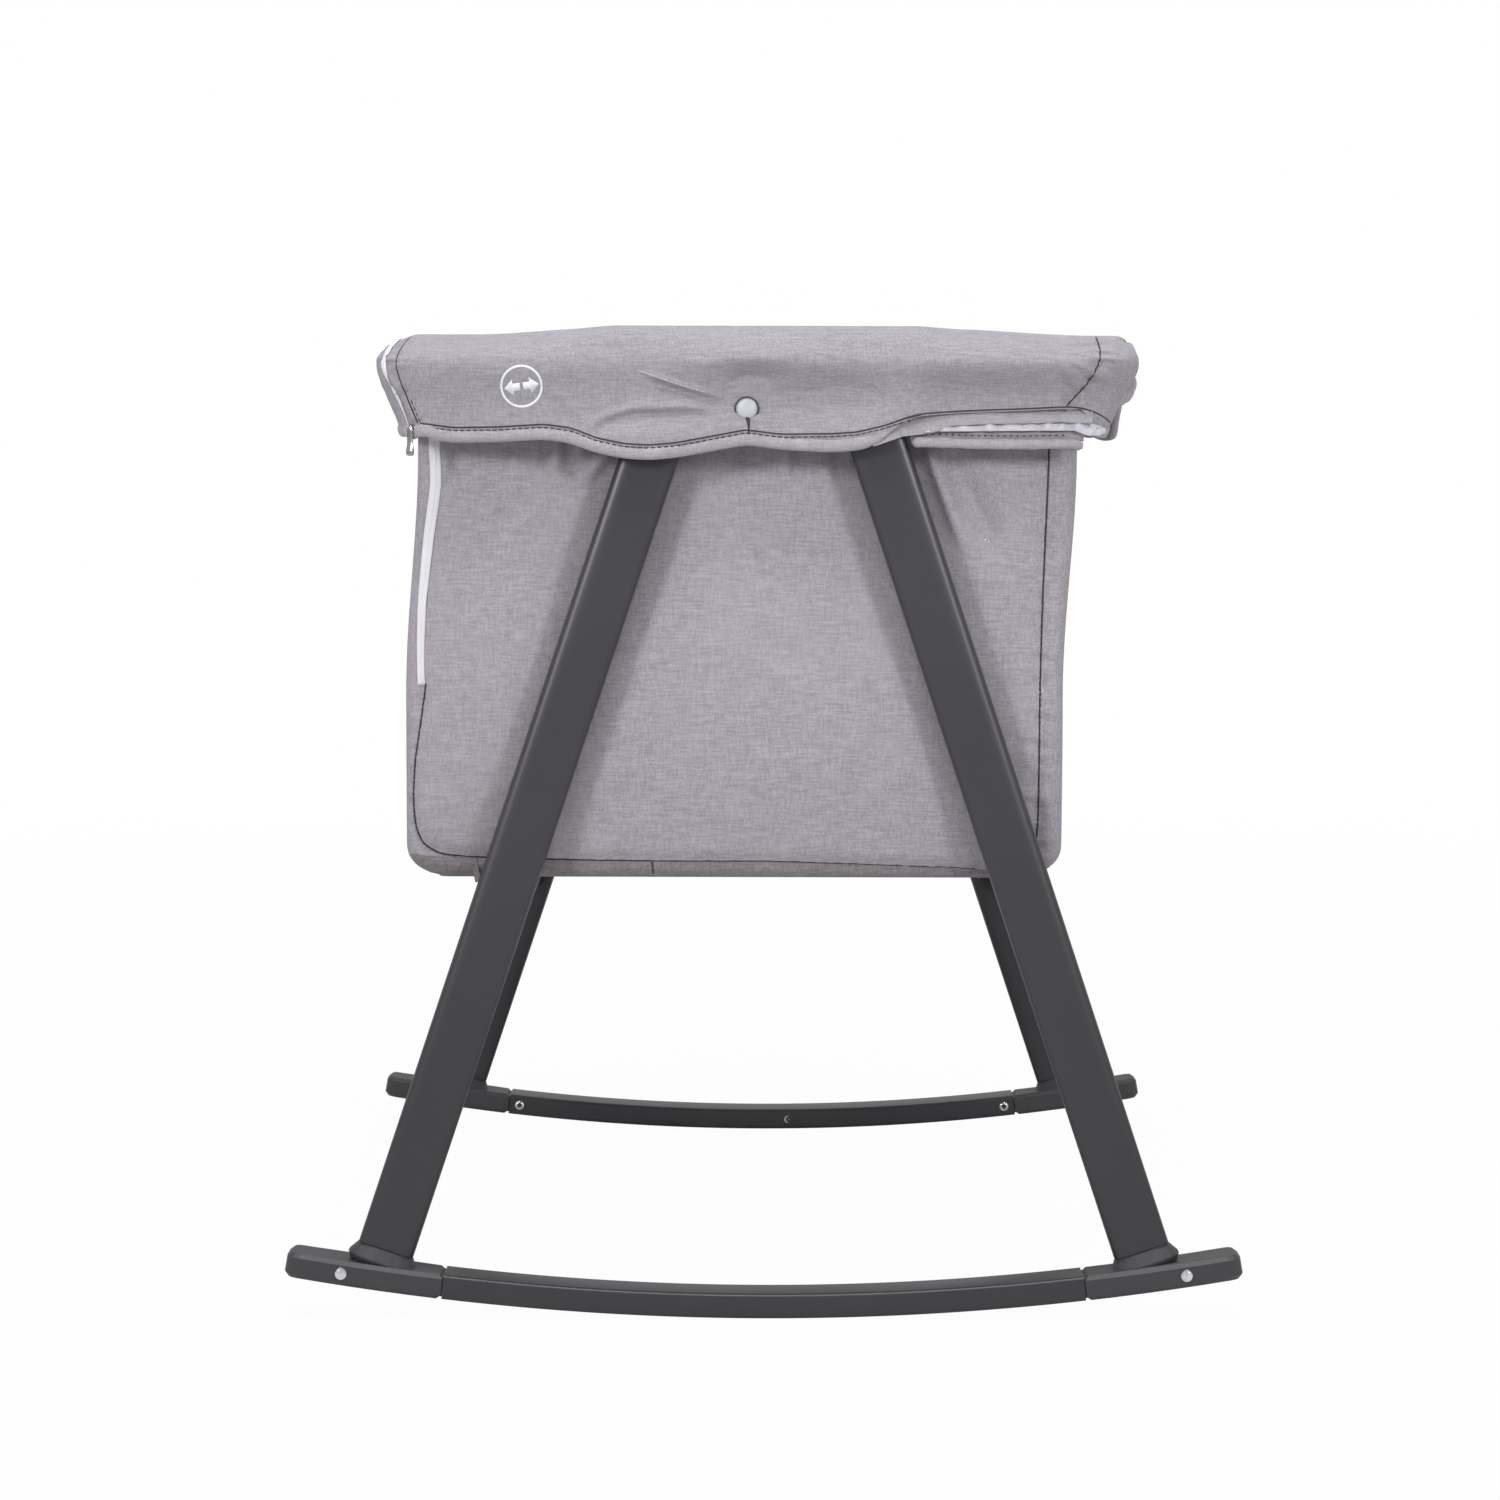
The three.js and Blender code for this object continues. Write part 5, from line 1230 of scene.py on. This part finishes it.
def collar_end_grid(s):
    """Outer points of an end's collar, from one split round the end to the other."""
    a, z_side, b_rail, b_bracket, z_bracket = collar_rows.T
    spots = [("side", t / RETURN_STEPS) for t in range(RETURN_STEPS)]
    spots += [("corner", t / TURN_STEPS) for t in range(TURN_STEPS)]
    face = [("face", 0, 2 * t / FRONT_STEPS - 1) for t in range(FRONT_STEPS + 1)]
    left, right = ([(kind, k, t) for kind, t in spots] for k in (-1, 1))
    radius = np.maximum(0.004, np.minimum(a - 0.228, b_rail - 0.391))
    columns, facing = [], []
    for kind, k, t in left + face + right[::-1]:
        over, hem, angle, strength = 1.0, FLAP_HEM + 0.001, math.pi / 2, 1.0
        if kind == "face":
            x = t * (a - radius)
            over = smooth((np.abs(x) - OVER_BRACKET) / 0.035)
            y = b_bracket + over * (b_rail - b_bracket)
            hem = np.interp(x + collar_shift(row_share), *hem_line.T)
        elif kind == "corner":
            angle = t * math.pi / 2
            y = b_rail - radius * (1 - math.sin(angle))
            x = k * (a + rail_room(k * -s, a, s * y) * math.cos(angle) - radius * (1 - math.cos(angle)))
            if k > 0:
                hem = hem + RIGHT_RISE * smooth((t - 0.45) / 0.5)
        else:
            angle, strength = 0.0, t
            y = COLLAR_SPLIT + t * (b_rail - radius - COLLAR_SPLIT)
            x = k * (a + rail_room(k * -s, a, s * y))
            if k > 0 and s < 0:
                hem = hem + HEM_RAISE * (1 - t)
        z = z_bracket + over * (z_side - z_bracket)
        stretch = (FLAP_TOP - hem) / (FLAP_TOP - FLAP_HEM)
        z = np.where(z < FLAP_TOP, FLAP_TOP - (FLAP_TOP - z) * stretch, z)
        columns.append(np.stack([x, y, z], axis=1))
        facing.append((strength * k * math.cos(angle), strength * math.sin(angle)))
    x, y, z = np.stack(columns, axis=1).transpose(2, 0, 1)
    shift = collar_shift(row_share)[:, None]
    relief = flap_relief(x + shift, z, row_share[:, None])
    out_x, out_y = np.array(facing).T
    z = z - crown_sag(x + relief * out_x + shift, row_share[:, None])
    return np.stack([-s * (x + relief * out_x) + shift, s * (y + relief * out_y), z], axis=2)


def collar_side_grid(k):
    """Outer points of a side's collar."""
    a, z_side = collar_rows[:, 0], collar_rows[:, 1]
    along = k * np.linspace(-COLLAR_SPLIT, COLLAR_SPLIT, SIDE_COLUMNS)
    y = np.broadcast_to(along, (len(a), len(along)))
    from_split = COLLAR_SPLIT - np.abs(along)
    room = smooth(from_split / 0.16)
    a = a[:, None] + np.stack([rail_room(k, a, at) for at in along], axis=1)
    hem = FLAP_HEM + 0.001 + 0.0022 * smooth(from_split / 0.05) * waves(along, 0 * along, 0.25, 1.0, 80 + k)
    if k > 0:
        hem = hem + HEM_RAISE * smooth((-0.19 - along) / 0.10)
    z = np.broadcast_to(z_side[:, None], y.shape)
    z = np.where(z < FLAP_TOP, FLAP_TOP - (FLAP_TOP - z) * (FLAP_TOP - hem) / (FLAP_TOP - FLAP_HEM), z)
    rows = row_share[:, None]
    relief = waves(y, z, 0.16, 0.0016, 82 + k) + waves(y, z, 0.045, 0.0003, 84 + k)
    relief = relief + 0.0022 * bell(z, 0.682, 0.016)
    for place in SIDE_FOLDS:
        path = ((place, 0.70), (place + 0.02, 0.66), (place + 0.012, 0.634))
        relief = relief + fold(y, z, path, 0.010, -0.0018, 0.3)
    relief = relief * smooth((rows - 0.32) / 0.12) * smooth(from_split / 0.025)
    x = k * (a + relief) + collar_shift(rows)
    level = 0.0036 * smooth((rows - 0.16) / 0.06) * smooth((0.70 - rows) / 0.20)
    z = z - (crown_sag(k * a + collar_shift(rows), rows) * (1 - room) + level * room)
    return np.stack([x, y, z], axis=2)


def bound_hem(grid, sizes=None):
    """A bias binding folded over the lower edge of a grid, with the small ridges of its weave."""
    normal = normals_of(grid)
    hem, way = grid[-1], normal[-4]
    line = resampled(hem, 0.0022, 2)
    before = np.concatenate([[0.0], np.cumsum(np.linalg.norm(np.diff(hem, axis=0), axis=1))])
    at = np.linspace(0, before[-1], len(line))
    way = np.stack([np.interp(at, before, c) for c in way.T], axis=1)
    way /= np.linalg.norm(way, axis=1, keepdims=True)
    if sizes is not None:
        sizes = np.interp(at, before, sizes)
    line = line + np.array([0, 0, 0.0036]) - 0.0019 * way
    outline = [(a * 0.0046, b * 0.0034) for a, b in rounded_outline(1.0, 1.0, 0.8, 3)]
    points, faces = swept(line, way, outline, sizes)
    points = np.array(points).reshape(len(line), len(outline), 3)
    ridges = np.sin(at[:, None] / 0.0055 * 2 * math.pi + np.linspace(0, 4, len(outline))[None, :]) * 0.00016
    ridges = ridges + waves(at[:, None], np.linspace(0, 0.01, len(outline))[None, :], 0.018, 0.00018, 90)
    points = points + ridges[..., None] * way[:, None, :]
    return points.reshape(-1, 3).tolist(), faces


def on_flap(tree, line, s):
    """A line on the near flap, as (x, z), laid on the flap of end s."""
    return draped(tree, placed(line, s, lambda z: HEM_SHIFT), s)


def ribbon(upper, lower, faces_out, ripple, s):
    """A hanging strip of cloth between two lines of (x, z). Its |Y| goes from faces_out[0] at the top
    to faces_out[1] at the bottom; near the legs it stands out over them."""
    upper, lower = np.array(upper), np.array(lower)
    x = np.linspace(max(upper[0, 0], lower[0, 0]), min(upper[-1, 0], lower[-1, 0]), 150)
    t = np.linspace(0, 1, 12)[:, None]
    high, low = np.interp(x, *upper.T), np.interp(x, *lower.T)
    height, pitch, seed = ripple
    y = faces_out[0] + (faces_out[1] - faces_out[0]) * smooth(t) + 0.0006 * np.sin(math.pi * t)
    y = y + 0.0090 * (1 - smooth((x - 0.080) / 0.030))
    y = y + waves(x + 0 * t, 0.3 * (high + (low - high) * t), pitch, height, seed) * smooth(t * 3)
    grid = np.stack([np.broadcast_to(x, y.shape), -y, high + (low - high) * t], axis=2)
    if s > 0:
        grid = grid * [-1, -1, 1] + [2 * HEM_SHIFT, 0, 0]
    return grid


# A paler melange, laid as a thin strip along the flap's pressed crease: a painted highlight on the crease's
# ridge.
crease_highlight_cloth = melange("painted_crease_highlight", (0.42, 0.40, 0.44, 1.0), (0.58, 0.56, 0.60, 1.0))
CREASE_HIGHLIGHT_LINE = ((-0.0910, 0.6806), (-0.0760, 0.6752), (-0.0600, 0.6700), (-0.0400, 0.6640))
# A darker, lavender copy of the white zip tape, for the tape under the turned-up hem: painted shade.
shaded_hem_tape = trim("shaded_hem_tape", (0.61, 0.60, 0.66, 1.0), 0.6)
# The section of the thin lines on the collar: dark ones are painted shade along its seams, slit and flap
# edge, and the pale one is the pressed crease's painted highlight.
PAINTED_LINE_SECTION = round_outline(0.0006, 0.0003)
# Rows of stitches: pitch, length, thread and lift.
HEM_STITCH = (0.0046, 0.0029, 0.00045, 0.0007)
FLAP_STITCH = (0.0046, 0.0031, 0.0005, 0.0004)
ROLL_STITCH = (0.0046, 0.0031, 0.0005, -0.0010)
HEM_SEAM, HEM_DASHES = 0.0098, 0.0078  # of a side's hem, above its edge
TURN_UPS = (
    ("turn_up", TURN_UP_TOP, TURN_UP_LOW, (0.4240, 0.4300), (0.0004, 0.024, 91), binding_cloth),
    ("shaded_hem_tape", TAPE_TOP, TAPE_LOW, (0.4268, 0.4288), (0.0013, 0.009, 92), shaded_hem_tape),
    ("hem_lining", LINING_TOP, LINING_LOW, (0.4240, 0.4254), (0.0002, 0.030, 93), collar_cloth),
)

for end, s in ENDS.items():
    body = f"{end}_frame"
    grid = collar_end_grid(s)
    flap = shell(f"{end}_collar_flap", grid, FLAP_THICKNESS, collar_cloth, body, "collar_linen")
    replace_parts(flap, f"{end}_end_collar")
    tree = tree_of(flap)
    hem_x = grid[-1, :, 0] if s < 0 else 2 * HEM_SHIFT - grid[-1, :, 0]
    sizes = 1 - 0.9 * smooth((hem_x - 0.068) / 0.022) * smooth((0.234 - hem_x) / 0.008)
    build(f"{end}_collar_binding", *bound_hem(grid, sizes), binding_cloth, body, "collar_linen")
    # The continuous dark lines along the binding's seam, the zip stitching, the snap's slit and the turned
    # flap's edge are painted shade in those folds; the dashes are stitches.
    seam = [(x, z + 0.0098 + 0.0024 * smooth(x / 0.05)) for x, z in resampled(BINDING_EDGE, SEAM_STEP, 8)]
    rows = [swept(*on_flap(tree, seam, s), PAINTED_LINE_SECTION, None, 0.0001)]
    seam = [(x, z - 0.0021) for x, z in seam if x < 0.108]
    rows.append(stitches(*on_flap(tree, seam, s), *HEM_STITCH))
    for seam, beside in ((LEFT_STITCH, 0.0022), (RIGHT_STITCH, 0.0), (SNAP_SLIT, None), (FLAP_EDGE, None)):
        line, way = on_flap(tree, resampled(seam, SEAM_STEP), s)
        widths = 1.0 + 2.2 * smooth(1 - np.linspace(0, 1.6, len(line))) * (seam is SNAP_SLIT)
        rows.append(swept(line, way, PAINTED_LINE_SECTION, widths))
        if beside is not None:
            rows.append(stitches(line - beside * np.array([s, 0, 0]), way, *FLAP_STITCH))
    build(f"{end}_collar_stitching", *together(rows), thread_and_seam_shade, body, "collar_linen")
    # The pale strip along the crease is a painted highlight.
    line, way = on_flap(tree, resampled(CREASE_HIGHLIGHT_LINE, SEAM_STEP), s)
    widths = 0.15 + np.sin(np.linspace(0, math.pi, len(line))) ** 0.6
    highlight_strip = swept(line, way, PAINTED_LINE_SECTION, widths)
    build(f"{end}_collar_crease_highlight", *highlight_strip, crease_highlight_cloth, body, "collar_linen")
    for name, upper, lower, faces_out, ripple, finish in TURN_UPS:
        grid = ribbon(upper, lower, faces_out, ripple, s)
        shell(f"{end}_{name}", grid, 0.0011, finish, body, "collar_linen")
    line = np.array([(x, -y, z) for x, y, z in resampled(LOWER_ROLL, 0.002, 6)])
    way = np.array([(0.0, -1.0, 0.0)] * len(line))
    if s > 0:
        line, way = line * [-1, -1, 1] + [2 * HEM_SHIFT, 0, 0], -way
    at = np.linspace(0, 1, len(line))
    sizes = np.sqrt(np.clip(1 - (1 - np.clip(np.minimum(at, 1 - at) / 0.03, 0, 1)) ** 2, 0.02, 1))
    sizes = sizes * (1 + 0.07 * np.sin(at * 61) * np.sin(at * 23 + 1))
    roll = [(a * 0.0036, b * 0.0034) for a, b in rounded_outline(1.0, 1.0, 0.75, 3)]
    build(f"{end}_lower_binding", *swept(line, way, roll, sizes), binding_cloth, body, "collar_linen")
    dashes = stitches(line[4:-6] + [0, 0, 0.0060], way[4:-6], *ROLL_STITCH)
    build(f"{end}_lower_stitching", *dashes, thread_and_seam_shade, body, "collar_linen")

body, slot = "near_frame", "collar_linen"
for side, k in SIDES.items():
    grid = collar_side_grid(k)
    flap = shell(f"side_collar_flap_{side}", grid, FLAP_THICKNESS, collar_cloth, body, slot)
    tree = tree_of(flap)
    fold_up(flap)
    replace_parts(flap, f"side_collar_{side}")
    binding = build(f"side_collar_binding_{side}", *bound_hem(grid), binding_cloth, body, slot)
    fold_up(binding)
    hem = grid[-1][3:-3]
    seam, dashes = (sideways(tree, [(y, z + up) for _, y, z in hem], k) for up in (HEM_SEAM, HEM_DASHES))
    # The continuous dark line is painted shade along the hem's seam; the dashes are stitches.
    rows = [swept(*seam, PAINTED_LINE_SECTION, None, 0.0001), stitches(*dashes, *HEM_STITCH)]
    fold_up(build(f"side_collar_stitching_{side}", *together(rows), thread_and_seam_shade, body, slot))


# ---------------------------------------------------------------- snaps and zips
# A nylon snap cap holds each end's flap. The left corner of the collar opens with a zip, whose
# slider and pull are nickel plated. A ring with two arrows, printed near it, stands for rocking.

white_print = moulded("white_print", (0.70, 0.70, 0.74, 1.0), 0.55)
nylon = moulded("snap_nylon", (0.44, 0.455, 0.475, 1.0), 0.30, 260.0)
# Near-black for the ring round each snap cap: painted shade under the cap's rim.
cap_rim_shade = moulded("snap_rim_shade", (0.060, 0.058, 0.062, 1.0), 0.5)
nickel = bright_metal("nickel_plate", (0.46, 0.45, 0.43, 1.0), 0.18)

SNAP_Y = 0.4336  # from the middle to the cloth under the cap
# Rings of the cap and of the dark ring round it, which is painted shade under the cap's rim: radius, and
# place outwards.
SNAP_CAP = ((0.0006, 0.0046), (0.0030, 0.0045), (0.0055, 0.0040), (0.0068, 0.0031), (0.0074, 0.0020),
            (0.0075, 0.0010), (0.0070, 0.0002), (0.0040, 0.0))
SNAP_RIM_SHADE = ((0.0060, -0.0006), (0.0060, 0.0012), (0.0086, 0.0012), (0.0089, 0.0006), (0.0089, -0.0020))

for end, s in ENDS.items():
    body = f"{end}_frame"
    place, outwards = (-s * SNAP[0], s * SNAP_Y, SNAP[1]), (0, s, 0)
    snap = build(f"{end}_snap_cap", *lathe(SNAP_CAP, place, outwards, 48), nylon, body, "white_nylon")
    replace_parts(snap, f"{end}_snap_button")
    # A dark ring under the cap's rim: painted shade where the cap stands off the cloth.
    socket = lathe(SNAP_RIM_SHADE, place, outwards, 48)
    sharpen(build(f"{end}_snap_rim_shade", *socket, cap_rim_shade, body, "white_nylon"), 40)

near_tree = tree_of(bpy.data.objects["near_collar_flap"])
line, way = draped(near_tree, resampled(LEFT_TAPE, SEAM_STEP), -1)
slit = swept(line + [0.0026, 0, 0], way, round_outline(0.0009, 0.0004))
build("corner_zip_slit", *slit, thread_and_seam_shade, "near_frame", "zip_tape")
widths = 0.60 * smooth((1.0 - np.linspace(0, 1, len(line))) / 0.8) + 0.10
tape = swept(line, way, tape_outline, widths, 0.0005)
build("corner_zip_tape_top", *tape, white_tape, "near_frame", "zip_tape")

PULL_PIVOT = Vector((-0.2524, -0.4335, 0.6390))
PULL_OUT, PULL_ALONG, UP = Vector((-0.5446, -0.8387, 0.0)), Vector((0.8387, -0.5446, 0.0)), Vector((0, 0, 1))


def upright(rings, corner):
    """A rounded bar along Z at the zip. rings are (height, half across, half out, offset out)."""
    points, outline = [], rounded_outline(1.0, 1.0, corner, 4)
    for height, half_across, half_out, offset in rings:
        for a, b in outline:
            across, out = a * half_across * PULL_ALONG, (b * half_out + offset) * PULL_OUT
            points.append(PULL_PIVOT + height * UP + across + out)
    return points, ring_faces(len(rings), len(outline))


PULL_RINGS = ((0.0016, 0.0013, 0.0004, 0), (0.0012, 0.0021, 0.0010, 0), (-0.0008, 0.0026, 0.0013, 0),
              (-0.0026, 0.0026, 0.0009, 0), (-0.0088, 0.0024, 0.0008, 0), (-0.0122, 0.0026, 0.0008, 0),
              (-0.0140, 0.0031, 0.0013, 0), (-0.0155, 0.0032, 0.0015, 0), (-0.0176, 0.0032, 0.0015, 0),
              (-0.0188, 0.0027, 0.0012, 0), (-0.0193, 0.0016, 0.0005, 0))
SLIDER_RINGS = ((0.0016, 0.0012, 0.0006, -0.0036), (0.0010, 0.0026, 0.0014, -0.0036),
                (0.0, 0.0034, 0.0018, -0.0036), (-0.0062, 0.0034, 0.0018, -0.0036),
                (-0.0072, 0.0026, 0.0014, -0.0036), (-0.0076, 0.0012, 0.0006, -0.0036))
BAIL_RINGS = ((0.0030, 0.0008, 0.0004, -0.0024), (0.0026, 0.0013, 0.0012, -0.0018),
              (0.0014, 0.0014, 0.0022, -0.0008), (-0.0004, 0.0013, 0.0012, 0.0002),
              (-0.0010, 0.0008, 0.0004, 0.0002))
pull = build("zip_pull", *upright(PULL_RINGS, 0.8), nickel, "zip_puller", "nickel")
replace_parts(pull, "zip_puller")
slider = together([upright(SLIDER_RINGS, 0.7), upright(BAIL_RINGS, 0.7)])
build("zip_slider", *slider, nickel, "near_frame", "nickel")

ICON_X, ICON_Z, ICON_RADIUS, ICON_LINE, ICON_TILT = -0.1730, 0.6690, 0.0143, 0.00082, math.radians(8)
ARROW_REACH = (0.0011, 0.0012, 0.0060, 0.0061, 0.0092, 0.0120, 0.0123)  # from the mark's middle
ARROW_HALF = (0.0026, 0.0027, 0.0027, 0.0058, 0.0030, 0.0003, 0.0001)  # half its width there
PRINT_SECTION = ((-1, -0.00012), (-1, 0.00012), (1, 0.00012), (1, -0.00012))


def printed(path, half):
    """A flat line of the mark, through places given as (x, z) from its middle. half is half its width."""
    line, way = draped(near_tree, [(ICON_X + x, ICON_Z + z) for x, z in path], -1)
    points, faces = swept(line, way, PRINT_SECTION, None, 0.0001)
    points = np.array(points).reshape(len(line), 4, 3)
    middle = points.mean(axis=1, keepdims=True)
    up = np.einsum("ijk,ik->ij", points - middle, way)[..., None] * way[:, None, :]
    points = middle + (points - middle - up) * half[:, None, None] + up
    return points.reshape(-1, 3).tolist(), faces


ring = [(ICON_RADIUS * math.cos(t), ICON_RADIUS * math.sin(t)) for t in np.linspace(0, 2 * math.pi, 73)]
prints = [printed(ring, np.full(len(ring), ICON_LINE))]
reach, half = (np.interp(np.linspace(0, 6, 37), range(7), steps) for steps in (ARROW_REACH, ARROW_HALF))
for k in (-1, 1):
    prints.append(printed([(k * t * math.cos(ICON_TILT), k * t * math.sin(ICON_TILT)) for t in reach], half))
build("rocking_mark", *together(prints), white_print, "near_frame", "collar_linen")
